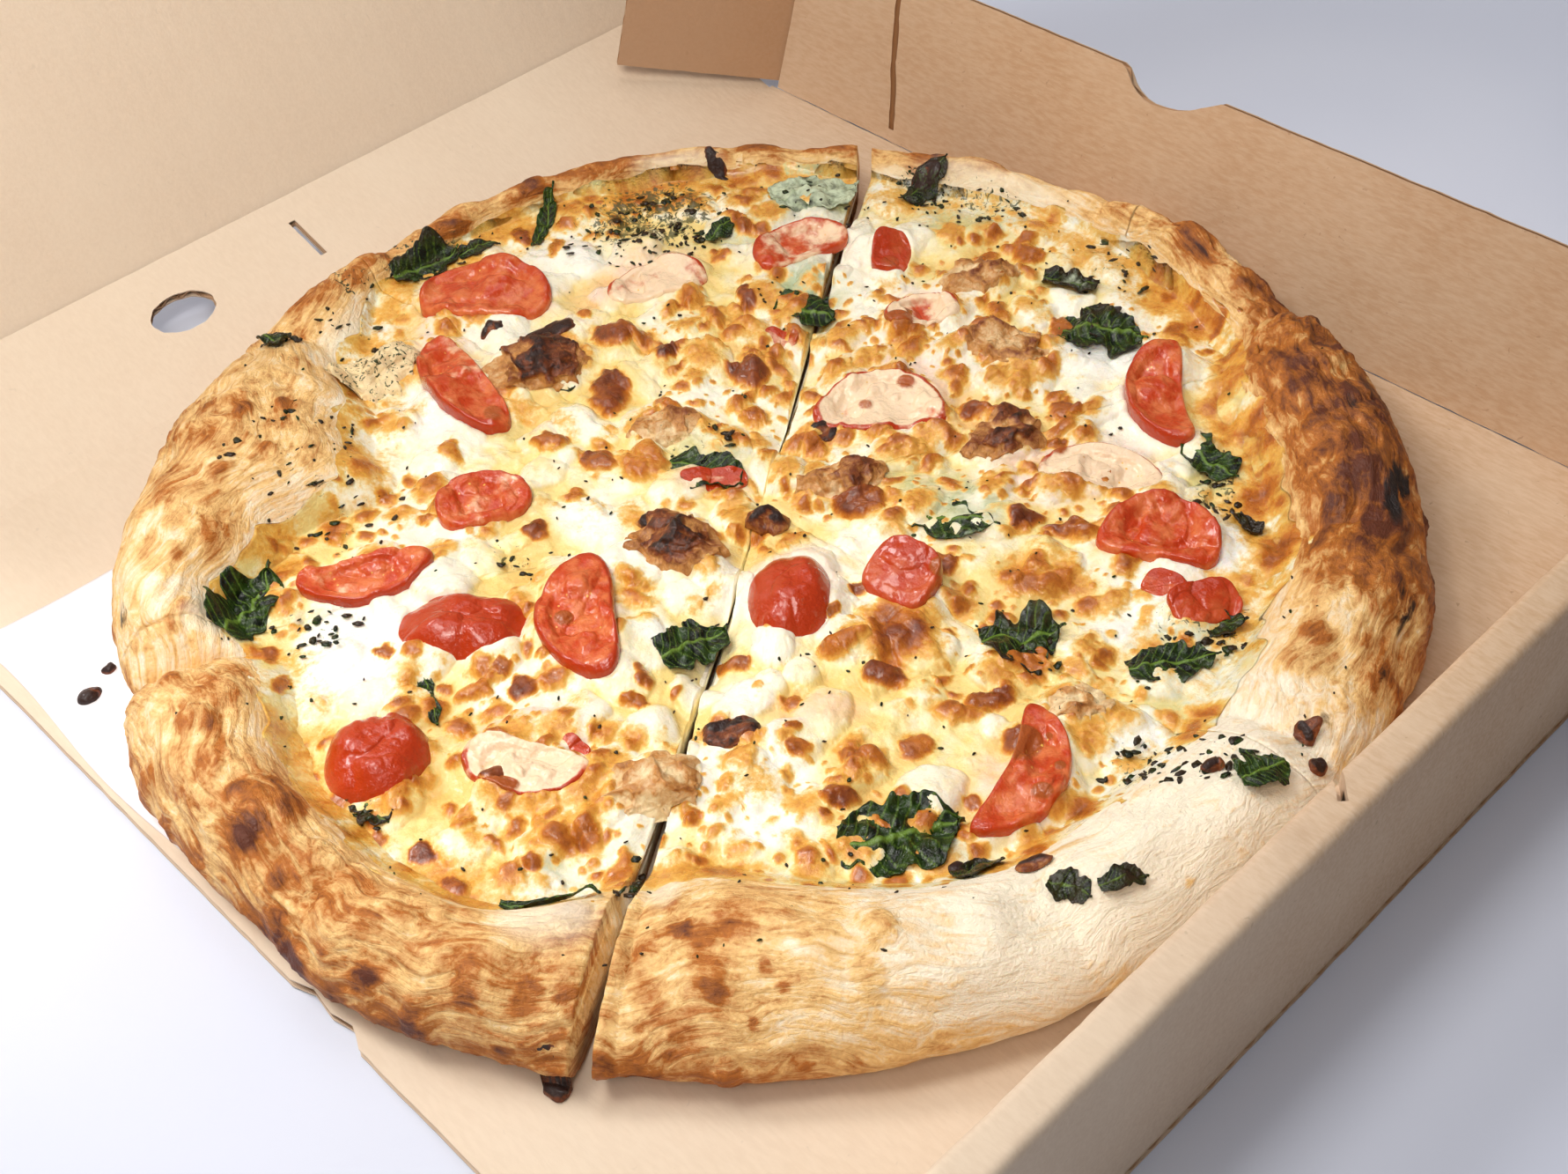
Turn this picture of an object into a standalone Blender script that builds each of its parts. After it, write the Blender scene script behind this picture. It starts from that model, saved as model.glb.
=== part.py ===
"""A round pizza, cut into six, in its opened takeaway box of corrugated board.

Lengths below are in millimetres and angles in degrees; meshes are scaled to metres when
they become objects. The origin lies on the table, under the middle of the pizza. +X points
to the leaning side wall, +Y to the lid, +Z up.
"""
import math
from collections import namedtuple

import bmesh
import bpy
from mathutils import Matrix, Vector, noise
from mathutils.bvhtree import BVHTree

MM = 0.001
GAP = 0.3

# The corrugated board and the tray folded from it
BOARD = 3.0
WALL_HEIGHT = 53.7
FLOOR_LEFT = -171.0
FLOOR_RIGHT = 164.0
FLOOR_FRONT = -188.0
FLOOR_REAR = 166.0
SIDE_LEAN = 20.0
FRONT_TOP = 53.0
FRONT_FOLD_WIDTH = 10.0
NOTCH = [(28.0, 0.0), (24.5, 2.2), (20.0, 6.2), (14.0, 8.0), (6.0, 7.2), (-1.0, 4.4), (-9.0, 0.0)]
SLIT_PLACE = (-8.6, -180.0)
SLIT_SIZE = (10.0, 2.2)
SLIT_TURN = 42.0
THUMB_HOLE_X = 8.3
THUMB_HOLE_Z = 15.4
THUMB_HOLE_SIZE = (13.0, 10.0)

# The rear wall, which has dropped back, and the lid on it
REAR_SLOPE = 16.65
REAR_WALL = 53.7
VENT_PLACE = (-56.0, 31.0)
VENT_SIZE = (21.0, 14.5)
REAR_SLOT_PLACE = (-8.0, 34.0)
REAR_SLOT_SIZE = (2.4, 17.0)
LID_LEAN = 65.0
LID_DEPTH = 350.0
LID_LEFT = -172.0
LID_RIGHT = 161.0
LID_FLAP = 42.0
LID_FLAP_START = 66.0
LID_FLAP_TURN = 68.0

# The corner flap at the side wall's rear end, half folded
FLAP_LENGTH = 57.0
FLAP_TURN = 54.0
FLAP_HINGE_Y = 163.6
FLAP_FOOT = 2.4
FLAP_TOP = 51.0

# The greaseproof paper that shows at the left
PAPER = 0.4
PAPER_LEFT = -168.5
PAPER_RIGHT = -60.0
PAPER_FRONT = -27.0
PAPER_REAR = 121.0

# The pizza, in heights above its own underside
PIZZA_FOOT = BOARD + GAP + PAPER + GAP
STEPS = 90
CRUMB = 6.0
CHEESE = 3.6
CHEESE_EDGE = 1.2
VALLEY_TOP = 13.0
FOLD_DEPTH = 5.0
CUT_START = 34.0
SLICES = 6
CUT_GAP = 0.6
OPEN_CUT_GAP = 1.4
OPEN_CUT_SPREAD = 0.6

Pillow = namedtuple("Pillow", "centre half_width top outer")
# The bulges of the crust, by their angle about the middle
PILLOWS = [
    Pillow(20.0, 21.0, 17.5, 167.0),
    Pillow(350.0, 15.5, 24.0, 164.5),
    Pillow(320.0, 20.0, 27.5, 170.0),
    Pillow(292.0, 16.0, 26.0, 171.0),
    Pillow(263.0, 16.5, 24.5, 172.0),
    Pillow(234.0, 19.5, 25.5, 173.0),
    Pillow(202.0, 15.5, 24.5, 175.0),
    Pillow(176.0, 17.5, 27.0, 171.0),
    Pillow(132.0, 25.5, 29.0, 168.0),
    Pillow(101.0, 9.5, 19.5, 169.0),
    Pillow(65.0, 29.5, 17.0, 169.0),
]
# The inner edge of the crust: angle and radius
INNER_EDGE = [
    (5, 152), (25, 151), (40, 157), (70, 160), (92, 154), (106, 134), (118, 109), (131, 99), (141, 123),
    (151, 136), (161, 126), (180, 139), (200, 142), (219, 118), (245, 131), (275, 128), (300, 131),
    (328, 128), (342, 143),
]
# Rings of the dough from the middle out: share of the inner radius, then share of the rim's
# width with the share of the rim's height there, then the underside
BASE_RINGS = [0.0, 0.42, 0.76, 1.0]
RIM_RINGS = [(0.10, 0.36), (0.22, 0.66), (0.40, 0.92), (0.60, 1.0), (0.80, 0.84), (0.94, 0.50), (1.0, 0.16)]
UNDER_RINGS = [(1.5, 3.4), (6.0, 1.0), (14.0, 0.0), (80.0, 0.0)]
CHEESE_RINGS = [0.0, 0.18, 0.36, 0.52, 0.68, 0.84, 1.0]

Topping = namedtuple("Topping", "name x y length width height heading bend")
# Where each piece lies: its middle, its size, the heading of its long side and its bend
TOMATOES = [
    Topping("tomato_01", 7, 125, 40, 26, 5.5, -45, 3),
    Topping("tomato_02", -23, 96, 44, 17, 6.0, -103, -3),
    Topping("tomato_03", 46, 91, 30, 15, 4.0, -24, 2),
    Topping("tomato_04", 87, 72, 30, 17, 4.5, -14, 3),
    Topping("tomato_05", 104, 50, 18, 12, 4.5, 36, 0),
    Topping("tomato_06", 86, 21, 22, 14, 4.0, -25, 2),
    Topping("tomato_07", 47, 0, 36, 24, 4.5, -50, 5),
    Topping("tomato_08", 106, -55, 42, 16, 5.5, -137, -6),
    Topping("tomato_09", 67, -60, 34, 18, 4.5, -60, 3),
    Topping("tomato_10", 55, -89, 31, 21, 5.5, -62, 5),
    Topping("tomato_11", 46, -110, 18, 12, 5.0, -26, 0),
    Topping("tomato_12", -52, 51, 26, 17, 5.5, -24, 2),
    Topping("tomato_13", -89, 53, 36, 14, 5.5, -32, -3),
    Topping("tomato_14", -83, 20, 33, 22, 7.0, -42, 0),
    Topping("tomato_15", -59, -3, 42, 20, 5.5, -125, -5),
    Topping("tomato_16", -21, -33, 28, 22, 8.5, -137, 0),
    Topping("tomato_17", 2, -50, 19, 16, 9.0, -80, 0),
    Topping("tomato_18", -124, 0, 25, 26, 9.0, -40, 0),
    Topping("tomato_19", -101, -27, 32, 15, 4.5, -60, -3),
    Topping("tomato_20", -27, -110, 39, 14, 5.5, -158, 7),
]
LEAVES = [
    Topping("spinach_01", -57, -105, 29, 19, 2.6, -30, 0),
    Topping("spinach_02", -47, -26, 20, 14, 2.4, -10, 0),
    Topping("spinach_03", 113, 91, 28, 18, 2.0, -26, 0),
    Topping("spinach_04", 68, 50, 19, 13, 1.8, -70, 0),
    Topping("spinach_05", 27, -43, 26, 13, 2.0, -66, 0),
    Topping("spinach_06", 116, -22, 26, 18, 2.6, -60, 0),
    Topping("spinach_07", 9, -84, 20, 18, 2.6, -38, 0),
    Topping("spinach_08", -116, 65, 25, 15, 2.6, 30, 0),
    Topping("spinach_09", 26, -116, 22, 11, 1.8, -40, 0),
    Topping("spinach_10", 2, -157, 13, 10, 1.6, -13, 0),
    Topping("spinach_11", -2, 18, 22, 12, 2.0, -71, 0),
]
CHICKEN = [
    Topping("chicken_01", -4, 88, 30, 19, 6.0, -17, 0),
    Topping("chicken_02", 114, 23, 21, 14, 5.0, -37, 0),
    Topping("chicken_03", 93, -6, 26, 14, 5.5, -79, 0),
    Topping("chicken_04", 61, -31, 20, 16, 5.0, 2, 0),
    Topping("chicken_05", 3, 39, 18, 13, 4.5, -36, 0),
    Topping("chicken_06", 19, -12, 20, 13, 6.0, -30, 0),
    Topping("chicken_07", -27, 3, 22, 16, 6.5, -63, 0),
    Topping("chicken_08", -85, -54, 21, 15, 4.5, -23, 0),
    Topping("chicken_09", 0, -108, 15, 12, 4.5, -35, 0),
    Topping("chicken_10", -37, 119, 22, 17, 6.0, 10, 0),
]


def clear_scene():
    """Remove every object, so that the model stands alone."""
    for item in list(bpy.data.objects):
        bpy.data.objects.remove(item, do_unlink=True)


def make_collection(name):
    """Return a new collection under the scene."""
    collection = bpy.data.collections.new(name)
    bpy.context.scene.collection.children.link(collection)
    return collection


def make_material(name, colour, roughness, metallic=0.0):
    """Return a Principled material of one colour, roughness and metallic value."""
    material = bpy.data.materials.new(name)
    material.use_nodes = True
    shader = material.node_tree.nodes["Principled BSDF"]
    shader.inputs["Base Color"].default_value = (*colour, 1.0)
    shader.inputs["Roughness"].default_value = roughness
    shader.inputs["Metallic"].default_value = metallic
    material.diffuse_color = (*colour, 1.0)
    return material


def add_object(name, bm, material, collection, place=(0.0, 0.0, 0.0), turn=(0.0, 0.0, 0.0)):
    """Turn a bmesh in millimetres into an object in metres at its place and turn."""
    bmesh.ops.scale(bm, vec=(MM, MM, MM), verts=bm.verts)
    mesh = bpy.data.meshes.new(name)
    bm.to_mesh(mesh)
    bm.free()
    mesh.materials.append(material)
    item = bpy.data.objects.new(name, mesh)
    item.location = Vector(place) * MM
    item.rotation_euler = turn
    collection.objects.link(item)
    return item


def box(low, high):
    """Return a bmesh box between two corners."""
    bm = bmesh.new()
    bmesh.ops.create_cube(bm, size=1.0)
    size = [b - a for a, b in zip(low, high)]
    centre = [(a + b) / 2 for a, b in zip(low, high)]
    bmesh.ops.scale(bm, vec=size, verts=bm.verts)
    bmesh.ops.translate(bm, vec=centre, verts=bm.verts)
    return bm


def round_hinge_edge(bm, y):
    """Round the two long edges of the board that lie at y into a nose about the fold."""
    edges = [edge for edge in bm.edges
             if all(abs(vert.co.y - y) < 0.01 for vert in edge.verts)
             and abs(edge.verts[0].co.z - edge.verts[1].co.z) < 0.01]
    bmesh.ops.bevel(bm, geom=edges, offset=BOARD / 2 - 0.05, segments=3, profile=0.5, affect="EDGES")


def cut_with(item, cutter):
    """Cut one object with a closed cutter by a live Boolean."""
    cutter.hide_render = True
    cutter.display_type = "WIRE"
    modifier = item.modifiers.new(cutter.name, "BOOLEAN")
    modifier.operation = "DIFFERENCE"
    modifier.object = cutter


def parent_keeping_place(child, parent):
    """Parent one object to another without moving it."""
    bpy.context.view_layer.update()
    child.parent = parent
    child.matrix_parent_inverse = parent.matrix_world.inverted()


def fold_axis(crease, first_slope, second_slope):
    """Return the point in YZ that lies at mid-board behind an inside crease of two slopes."""
    normals = [Vector((-math.sin(math.radians(s)), math.cos(math.radians(s))))
               for s in (first_slope, second_slope)]
    inward = (normals[0] + normals[1]) / (1.0 + normals[0].dot(normals[1]))
    return Vector(crease) - inward * BOARD / 2


def build_floor(parts, material):
    """The flat panel that the pizza lies on."""
    rear = fold_axis((FLOOR_REAR, BOARD), 0.0, REAR_SLOPE).x - BOARD / 2 - GAP
    bm = box((FLOOR_LEFT, FLOOR_FRONT, 0.0), (FLOOR_RIGHT, rear, BOARD))
    return add_object("tray_floor", bm, material, parts)


def build_side_wall(parts, material):
    """The leaning wall, with the finger notch in its top edge."""
    front = FLOOR_FRONT + FRONT_FOLD_WIDTH + 0.5
    rear = FLAP_HINGE_Y - BOARD / 2 - GAP
    outline = [(rear, 0.0), (rear, WALL_HEIGHT)]
    outline += [(y, WALL_HEIGHT - drop) for y, drop in NOTCH]
    outline += [(front, WALL_HEIGHT), (front, 0.0)]
    bm = bmesh.new()
    face = bm.faces.new([bm.verts.new((0.0, y, up)) for y, up in outline])
    raised = bmesh.ops.extrude_face_region(bm, geom=[face])
    verts = [part for part in raised["geom"] if isinstance(part, bmesh.types.BMVert)]
    bmesh.ops.translate(bm, vec=(BOARD, 0.0, 0.0), verts=verts)
    bmesh.ops.triangulate(bm, faces=[f for f in bm.faces if len(f.verts) > 4])
    bmesh.ops.recalc_face_normals(bm, faces=bm.faces)
    place = (FLOOR_RIGHT, 0.0, BOARD + GAP)
    return add_object("side_wall", bm, material, parts, place, (0.0, math.radians(SIDE_LEAN), 0.0))


def build_front_wall(parts, cutters, material):
    """The double wall: one strip of board rolled up, over and down again."""
    outer = FLOOR_FRONT + BOARD / 2
    inner = FLOOR_FRONT + FRONT_FOLD_WIDTH - BOARD / 2
    foot = BOARD + GAP
    top = FRONT_TOP - BOARD / 2
    lean = math.tan(math.radians(SIDE_LEAN))
    bm = bmesh.new()
    strip = [bm.verts.new((FLOOR_LEFT, y, z)) for y, z in ((outer, foot), (outer, top), (inner, top), (inner, foot))]
    edges = [bm.edges.new(pair) for pair in zip(strip, strip[1:])]
    swept = bmesh.ops.extrude_edge_only(bm, edges=edges)
    for part in swept["geom"]:
        if isinstance(part, bmesh.types.BMVert):
            part.co.x = FLOOR_RIGHT + (part.co.z - BOARD) * lean
    bmesh.ops.recalc_face_normals(bm, faces=bm.faces)
    item = add_object("front_wall", bm, material, parts)
    solidify = item.modifiers.new("board", "SOLIDIFY")
    solidify.thickness = BOARD * MM
    solidify.offset = 0.0
    solidify.use_even_offset = True
    slit = box((-SLIT_SIZE[0] / 2, -SLIT_SIZE[1] / 2, -6.0), (SLIT_SIZE[0] / 2, SLIT_SIZE[1] / 2, 4.0))
    slit = add_object("slit_cutter", slit, material, cutters, (*SLIT_PLACE, FRONT_TOP),
                      (0.0, 0.0, math.radians(SLIT_TURN)))
    cut_with(item, slit)
    half = THUMB_HOLE_SIZE[0] / 2
    hole = box((-half, -3.0, -THUMB_HOLE_SIZE[1] / 2), (half, 3.4, THUMB_HOLE_SIZE[1] / 2))
    for vert in hole.verts:
        if vert.co.z > 0.0:
            vert.co.x *= 0.72
    hole = add_object("thumb_hole_cutter", hole, material, cutters, (THUMB_HOLE_X, outer - BOARD / 2, THUMB_HOLE_Z))
    cut_with(item, hole)
    return item


def build_rear_wall(parts, cutters, material):
    """The rear wall between the floor and the lid, with its vent and its tab slot."""
    fold = fold_axis((FLOOR_REAR, BOARD), 0.0, REAR_SLOPE)
    length = (lid_fold() - fold).length - BOARD / 2 - GAP
    bm = box((FLOOR_LEFT, -BOARD / 2, -BOARD / 2), (FLOOR_RIGHT - 1.0, length, BOARD / 2))
    round_hinge_edge(bm, -BOARD / 2)
    slope = math.radians(REAR_SLOPE)
    item = add_object("rear_wall", bm, material, parts, (0.0, *fold), (slope, 0.0, 0.0))
    vent = bmesh.new()
    bmesh.ops.create_cone(vent, cap_ends=True, segments=24, radius1=0.5, radius2=0.5, depth=4 * BOARD)
    bmesh.ops.scale(vent, vec=(VENT_SIZE[0], VENT_SIZE[1], 1.0), verts=vent.verts)
    bmesh.ops.translate(vent, vec=(*VENT_PLACE, 0.0), verts=vent.verts)
    cut_with(item, add_object("vent_cutter", vent, material, cutters, (0.0, *fold), (slope, 0.0, 0.0)))
    low = [REAR_SLOT_PLACE[i] - REAR_SLOT_SIZE[i] / 2 for i in range(2)]
    high = [REAR_SLOT_PLACE[i] + REAR_SLOT_SIZE[i] / 2 for i in range(2)]
    slot = box((*low, -2 * BOARD), (*high, 2 * BOARD))
    cut_with(item, add_object("slot_cutter", slot, material, cutters, (0.0, *fold), (slope, 0.0, 0.0)))
    return item


def lid_fold():
    """Return the lid's fold axis in YZ."""
    slope = math.radians(REAR_SLOPE)
    crease = (FLOOR_REAR + REAR_WALL * math.cos(slope), BOARD + REAR_WALL * math.sin(slope))
    return fold_axis(crease, REAR_SLOPE, LID_LEAN)


def build_lid(parts, material):
    """The lid: a panel with a tuck flap at its front and a flap along each side."""
    far = LID_DEPTH - BOARD / 2
    bm = bmesh.new()
    rows = [-BOARD / 2, LID_FLAP_START, far]
    grid = [[bm.verts.new((x, y, 0.0)) for x in (LID_LEFT, LID_RIGHT)] for y in rows]
    for near, back in zip(grid, grid[1:]):
        bm.faces.new((near[0], near[1], back[1], back[0]))
    turn = math.radians(LID_FLAP_TURN)
    reach = LID_FLAP * math.cos(turn)
    rise = LID_FLAP * math.sin(turn)
    for side, out in ((0, -1.0), (1, 1.0)):
        low = grid[1][side]
        high = grid[2][side]
        tip_low = bm.verts.new((low.co.x + out * reach, low.co.y + 9.0, rise))
        tip_high = bm.verts.new((high.co.x + out * reach, high.co.y - 9.0, rise))
        bm.faces.new((low, high, tip_high, tip_low))
    left, right = grid[2]
    tuck = [bm.verts.new((x, far + reach, rise)) for x in (LID_LEFT + 9.0, LID_RIGHT - 9.0)]
    bm.faces.new((left, right, tuck[1], tuck[0]))
    bmesh.ops.recalc_face_normals(bm, faces=bm.faces)
    shell = add_object("lid_sheet", bm, material, parts)
    solidify = shell.modifiers.new("board", "SOLIDIFY")
    solidify.thickness = BOARD * MM
    solidify.offset = 0.0
    solidify.use_even_offset = True
    bpy.context.view_layer.update()
    solid = bpy.data.meshes.new_from_object(shell.evaluated_get(bpy.context.evaluated_depsgraph_get()))
    bpy.data.objects.remove(shell, do_unlink=True)
    bm = bmesh.new()
    bm.from_mesh(solid)
    bmesh.ops.scale(bm, vec=(1 / MM, 1 / MM, 1 / MM), verts=bm.verts)
    round_hinge_edge(bm, -BOARD / 2)
    return add_object("lid", bm, material, parts, (0.0, *lid_fold()), (math.radians(LID_LEAN), 0.0, 0.0))


def build_corner_flap(parts, material):
    """The flap at the side wall's rear end, turned in by its own fold and slightly bowed."""
    bm = box((-BOARD / 2, -BOARD / 2, FLAP_FOOT), (BOARD / 2, FLAP_LENGTH, FLAP_TOP))
    bmesh.ops.bisect_plane(bm, geom=bm.verts[:] + bm.edges[:] + bm.faces[:], plane_co=(0.0, FLAP_LENGTH * 0.55, 0.0),
                           plane_no=(0.0, 1.0, 0.0))
    for vert in bm.verts:
        if vert.co.y > FLAP_LENGTH * 0.9 and vert.co.z < FLAP_TOP / 2:
            vert.co.z -= 3.0
        if vert.co.y > FLAP_LENGTH * 0.9:
            vert.co.x += 1.6
    edges = [edge for edge in bm.edges
             if all(abs(vert.co.y + BOARD / 2) < 0.01 for vert in edge.verts)
             and abs(edge.verts[0].co.x - edge.verts[1].co.x) < 0.01]
    bmesh.ops.bevel(bm, geom=edges, offset=BOARD / 2 - 0.05, segments=3, profile=0.5, affect="EDGES")
    lean = Matrix.Rotation(math.radians(SIDE_LEAN), 4, "Y")
    turn = lean @ Matrix.Rotation(math.radians(FLAP_TURN), 4, "Z")
    mid = lean @ Vector((BOARD / 2, 0.0, 0.0))
    place = Vector((FLOOR_RIGHT, FLAP_HINGE_Y, BOARD + GAP)) + mid
    return add_object("corner_flap", bm, material, parts, place, turn.to_euler())


def build_paper(parts, material):
    """The greaseproof sheet on the floor, its free edges a little wavy."""
    columns = 12
    rows = 16
    bm = bmesh.new()
    bmesh.ops.create_grid(bm, x_segments=columns, y_segments=rows, size=0.5)
    width = PAPER_RIGHT - PAPER_LEFT
    depth = PAPER_REAR - PAPER_FRONT
    for vert in bm.verts:
        across = vert.co.x + 0.5
        along = vert.co.y + 0.5
        x = PAPER_LEFT + across * width
        wave = 1.6 * math.sin(0.06 * x) * along
        vert.co = (x + 1.2 * math.sin(9.0 * along) * (1.0 - across), PAPER_FRONT + along * depth + wave, 0.0)
    bmesh.ops.triangulate(bm, faces=bm.faces)
    item = add_object("paper", bm, material, parts, (0.0, 0.0, BOARD + GAP))
    solidify = item.modifiers.new("sheet", "SOLIDIFY")
    solidify.thickness = PAPER * MM
    solidify.offset = 1.0
    return item


def turned_grid(ring_count):
    """Return a closed grid wrapped about Z, whose x is 1 off the axis and whose z numbers the rings."""
    last = ring_count - 1
    bm = bmesh.new()
    bmesh.ops.create_grid(bm, x_segments=STEPS, y_segments=last, size=0.5)
    for vert in bm.verts:
        turn = (0.5 - vert.co.x) * math.tau
        ring = round((vert.co.y + 0.5) * last)
        radius = 0.0 if ring in (0, last) else 1.0
        vert.co = (radius * math.cos(turn), radius * math.sin(turn), ring)
    bmesh.ops.remove_doubles(bm, verts=bm.verts, dist=1e-4)
    return bm


def turn_between(angle, centre):
    """Return the smallest turn between two angles, in degrees."""
    return abs((angle - centre + 180.0) % 360.0 - 180.0)


def pillow_share(angle, pillow):
    """Return how far up one bulge of the crust an angle stands, from 0 to 1."""
    part = turn_between(angle, pillow.centre) / pillow.half_width
    return math.sqrt(max(0.0, 1.0 - part * part))


def inner_edge(angle):
    """Return the crust's inner radius at an angle, smoothly between the listed points."""
    count = len(INNER_EDGE)
    for index in range(count):
        low_angle, low = INNER_EDGE[index]
        high_angle, high = INNER_EDGE[(index + 1) % count]
        span = (high_angle - low_angle) % 360.0
        ahead = (angle - low_angle) % 360.0
        if ahead <= span:
            share = 0.5 - 0.5 * math.cos(math.pi * ahead / span)
            return low + (high - low) * share
    return INNER_EDGE[0][1]


def rim_at(angle):
    """Return the crust's top height, inner radius and outer radius at an angle."""
    shares = [pillow_share(angle, pillow) for pillow in PILLOWS]
    top = max(VALLEY_TOP + share * (pillow.top - VALLEY_TOP) for share, pillow in zip(shares, PILLOWS))
    weights = [share ** 3 + 1e-6 for share in shares]
    outer = sum(w * pillow.outer for w, pillow in zip(weights, PILLOWS)) / sum(weights)
    outer -= FOLD_DEPTH * (1.0 - max(shares)) ** 2
    return top, inner_edge(angle), outer


def crag(x, y, size, height):
    """Return a smooth uneven height over the plan, for lumps of a given size."""
    return height * noise.noise(Vector((x / size, y / size, size)))


def dough_point(ring, angle):
    """Return radius and height of one ring of the dough at an angle."""
    top, inner, outer = rim_at(angle)
    rim_start = len(BASE_RINGS)
    under_start = rim_start + len(RIM_RINGS)
    if ring < rim_start:
        return inner * BASE_RINGS[ring], CRUMB
    if ring < under_start:
        share, height = RIM_RINGS[ring - rim_start]
        radius = inner + (outer - inner) * share
        turn = math.radians(angle)
        lump = crag(radius * math.cos(turn), radius * math.sin(turn), 13.0, 2.6)
        lump *= max(0.0, height - 0.6) * 2.5 if share < 1.0 else 0.0
        return radius, CRUMB + (top - CRUMB) * height + lump
    if ring < under_start + len(UNDER_RINGS):
        inset, height = UNDER_RINGS[ring - under_start]
        return outer - inset, height
    return 0.0, 0.0


def cheese_point(ring, angle):
    """Return radius and height of one ring of the cheese: up the dough, then back over the top."""
    under = len(BASE_RINGS) + 2
    if ring < under:
        radius, height = dough_point(ring, angle)
        return radius, height + (GAP + 0.05 if ring < len(BASE_RINGS) else 0.7)
    if ring < under + 2:
        radius, height = dough_point(under - 1 - (ring - under), angle)
        return radius, height + 0.7 + CHEESE_EDGE + 0.9 * (ring - under)
    inner = rim_at(angle)[1]
    radius = inner * CHEESE_RINGS[len(CHEESE_RINGS) - 1 - (ring - under - 2)]
    turn = math.radians(angle)
    x = radius * math.cos(turn)
    y = radius * math.sin(turn)
    lift = crag(x, y, 17.0, 1.7) + crag(x, y, 9.0, 0.8)
    return radius, CRUMB + GAP + CHEESE + lift


def shape_turned(bm, point_at):
    """Give each vertex of a turned grid its real radius and height."""
    for vert in bm.verts:
        ring = round(vert.co.z)
        turn = math.atan2(vert.co.y, vert.co.x)
        radius, height = point_at(ring, math.degrees(turn) % 360.0)
        vert.co = (radius * math.cos(turn), radius * math.sin(turn), PIZZA_FOOT + height)


def build_dough():
    """Return the whole dough with its crust as one bmesh."""
    count = len(BASE_RINGS) + len(RIM_RINGS) + len(UNDER_RINGS) + 1
    bm = turned_grid(count)
    shape_turned(bm, dough_point)
    return bm


def build_cheese():
    """Return the whole cheese layer as one bmesh."""
    count = len(BASE_RINGS) + 2 + 2 + len(CHEESE_RINGS)
    bm = turned_grid(count)
    shape_turned(bm, cheese_point)
    return bm


def cut_plane(angle, side):
    """Return a point and a normal of the cut at an angle, for the slice on one side of it."""
    turn = math.radians(angle)
    opened = abs(turn_between(angle, CUT_START)) < 1.0 or abs(turn_between(angle, CUT_START + 180.0)) < 1.0
    if opened:
        turn += side * math.radians(OPEN_CUT_SPREAD)
    normal = Vector((-math.sin(turn), math.cos(turn), 0.0)) * side
    return normal * (OPEN_CUT_GAP if opened else CUT_GAP) / 2, normal


def slice_of(whole, index):
    """Return one of the six slices of a whole turned layer, its cut faces closed."""
    bm = whole.copy()
    start = CUT_START + index * 360.0 / SLICES
    for angle, side in ((start, 1.0), (start + 360.0 / SLICES, -1.0)):
        point, normal = cut_plane(angle, side)
        bmesh.ops.bisect_plane(bm, geom=bm.verts[:] + bm.edges[:] + bm.faces[:], dist=1e-4,
                               plane_co=point, plane_no=normal, clear_inner=True)
        rim = [edge for edge in bm.edges if edge.is_boundary]
        bmesh.ops.edgeloop_fill(bm, edges=rim)
    bmesh.ops.triangulate(bm, faces=[face for face in bm.faces if len(face.verts) > 3])
    bmesh.ops.recalc_face_normals(bm, faces=bm.faces)
    return bm


class Bed:
    """The surfaces that a topping can lie on, felt from above."""

    def __init__(self, layers):
        self.trees = [BVHTree.FromBMesh(layer) for layer in layers]

    def height(self, x, y):
        """Return the highest surface at a point of the plan."""
        found = [tree.ray_cast(Vector((x, y, 200.0)), Vector((0.0, 0.0, -1.0)))[0] for tree in self.trees]
        return max((hit.z for hit in found if hit is not None), default=PIZZA_FOOT)

    def rest(self, x, y, reach):
        """Return the highest surface within reach of a point."""
        around = [(0.0, 0.0)]
        for radius in (reach / 2, reach):
            around += [(radius * math.cos(k * math.tau / 8), radius * math.sin(k * math.tau / 8)) for k in range(8)]
        return max(self.height(x + dx, y + dy) for dx, dy in around)


def plan_point(topping, along, across):
    """Return the place in the plan of a point given along and across a topping."""
    turn = math.radians(topping.heading)
    across += topping.bend * (1.0 - (2.0 * along / topping.length) ** 2)
    x = topping.x + along * math.cos(turn) - across * math.sin(turn)
    y = topping.y + along * math.sin(turn) + across * math.cos(turn)
    return x, y


def lay_pad(topping, bed, bm, flatness, roughness):
    """Lay a unit ball on the bed as a pad of the topping's size, flat under and domed over."""
    for vert in bm.verts:
        unit = vert.co.copy()
        x, y = plan_point(topping, unit.x * topping.length / 2, unit.y * topping.width / 2)
        foot = bed.rest(x, y, 4.0) + GAP
        if unit.z > 0.0:
            rise = 0.3 + 0.7 * unit.z ** flatness + crag(x * 3.0, y * 3.0, 11.0, roughness)
        else:
            rise = 0.3 * (1.0 + unit.z)
        vert.co = (x, y, foot + max(rise, 0.0) * topping.height)


def build_tomatoes(parts, bed, material):
    """Slices and pieces of tomato: flat rounds, half moons and chunks with a rounded edge."""
    for topping in TOMATOES:
        bm = bmesh.new()
        bmesh.ops.create_uvsphere(bm, u_segments=12, v_segments=6, radius=1.0)
        lay_pad(topping, bed, bm, 0.55, 0.1)
        bed.trees.append(BVHTree.FromBMesh(bm))
        add_object(topping.name, bm, material, parts)


def build_chicken(parts, bed, material):
    """Torn pieces of roast chicken: uneven lumps."""
    for topping in CHICKEN:
        bm = bmesh.new()
        bmesh.ops.create_icosphere(bm, subdivisions=2, radius=1.0)
        lay_pad(topping, bed, bm, 0.7, 0.45)
        bed.trees.append(BVHTree.FromBMesh(bm))
        add_object(topping.name, bm, material, parts)


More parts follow.
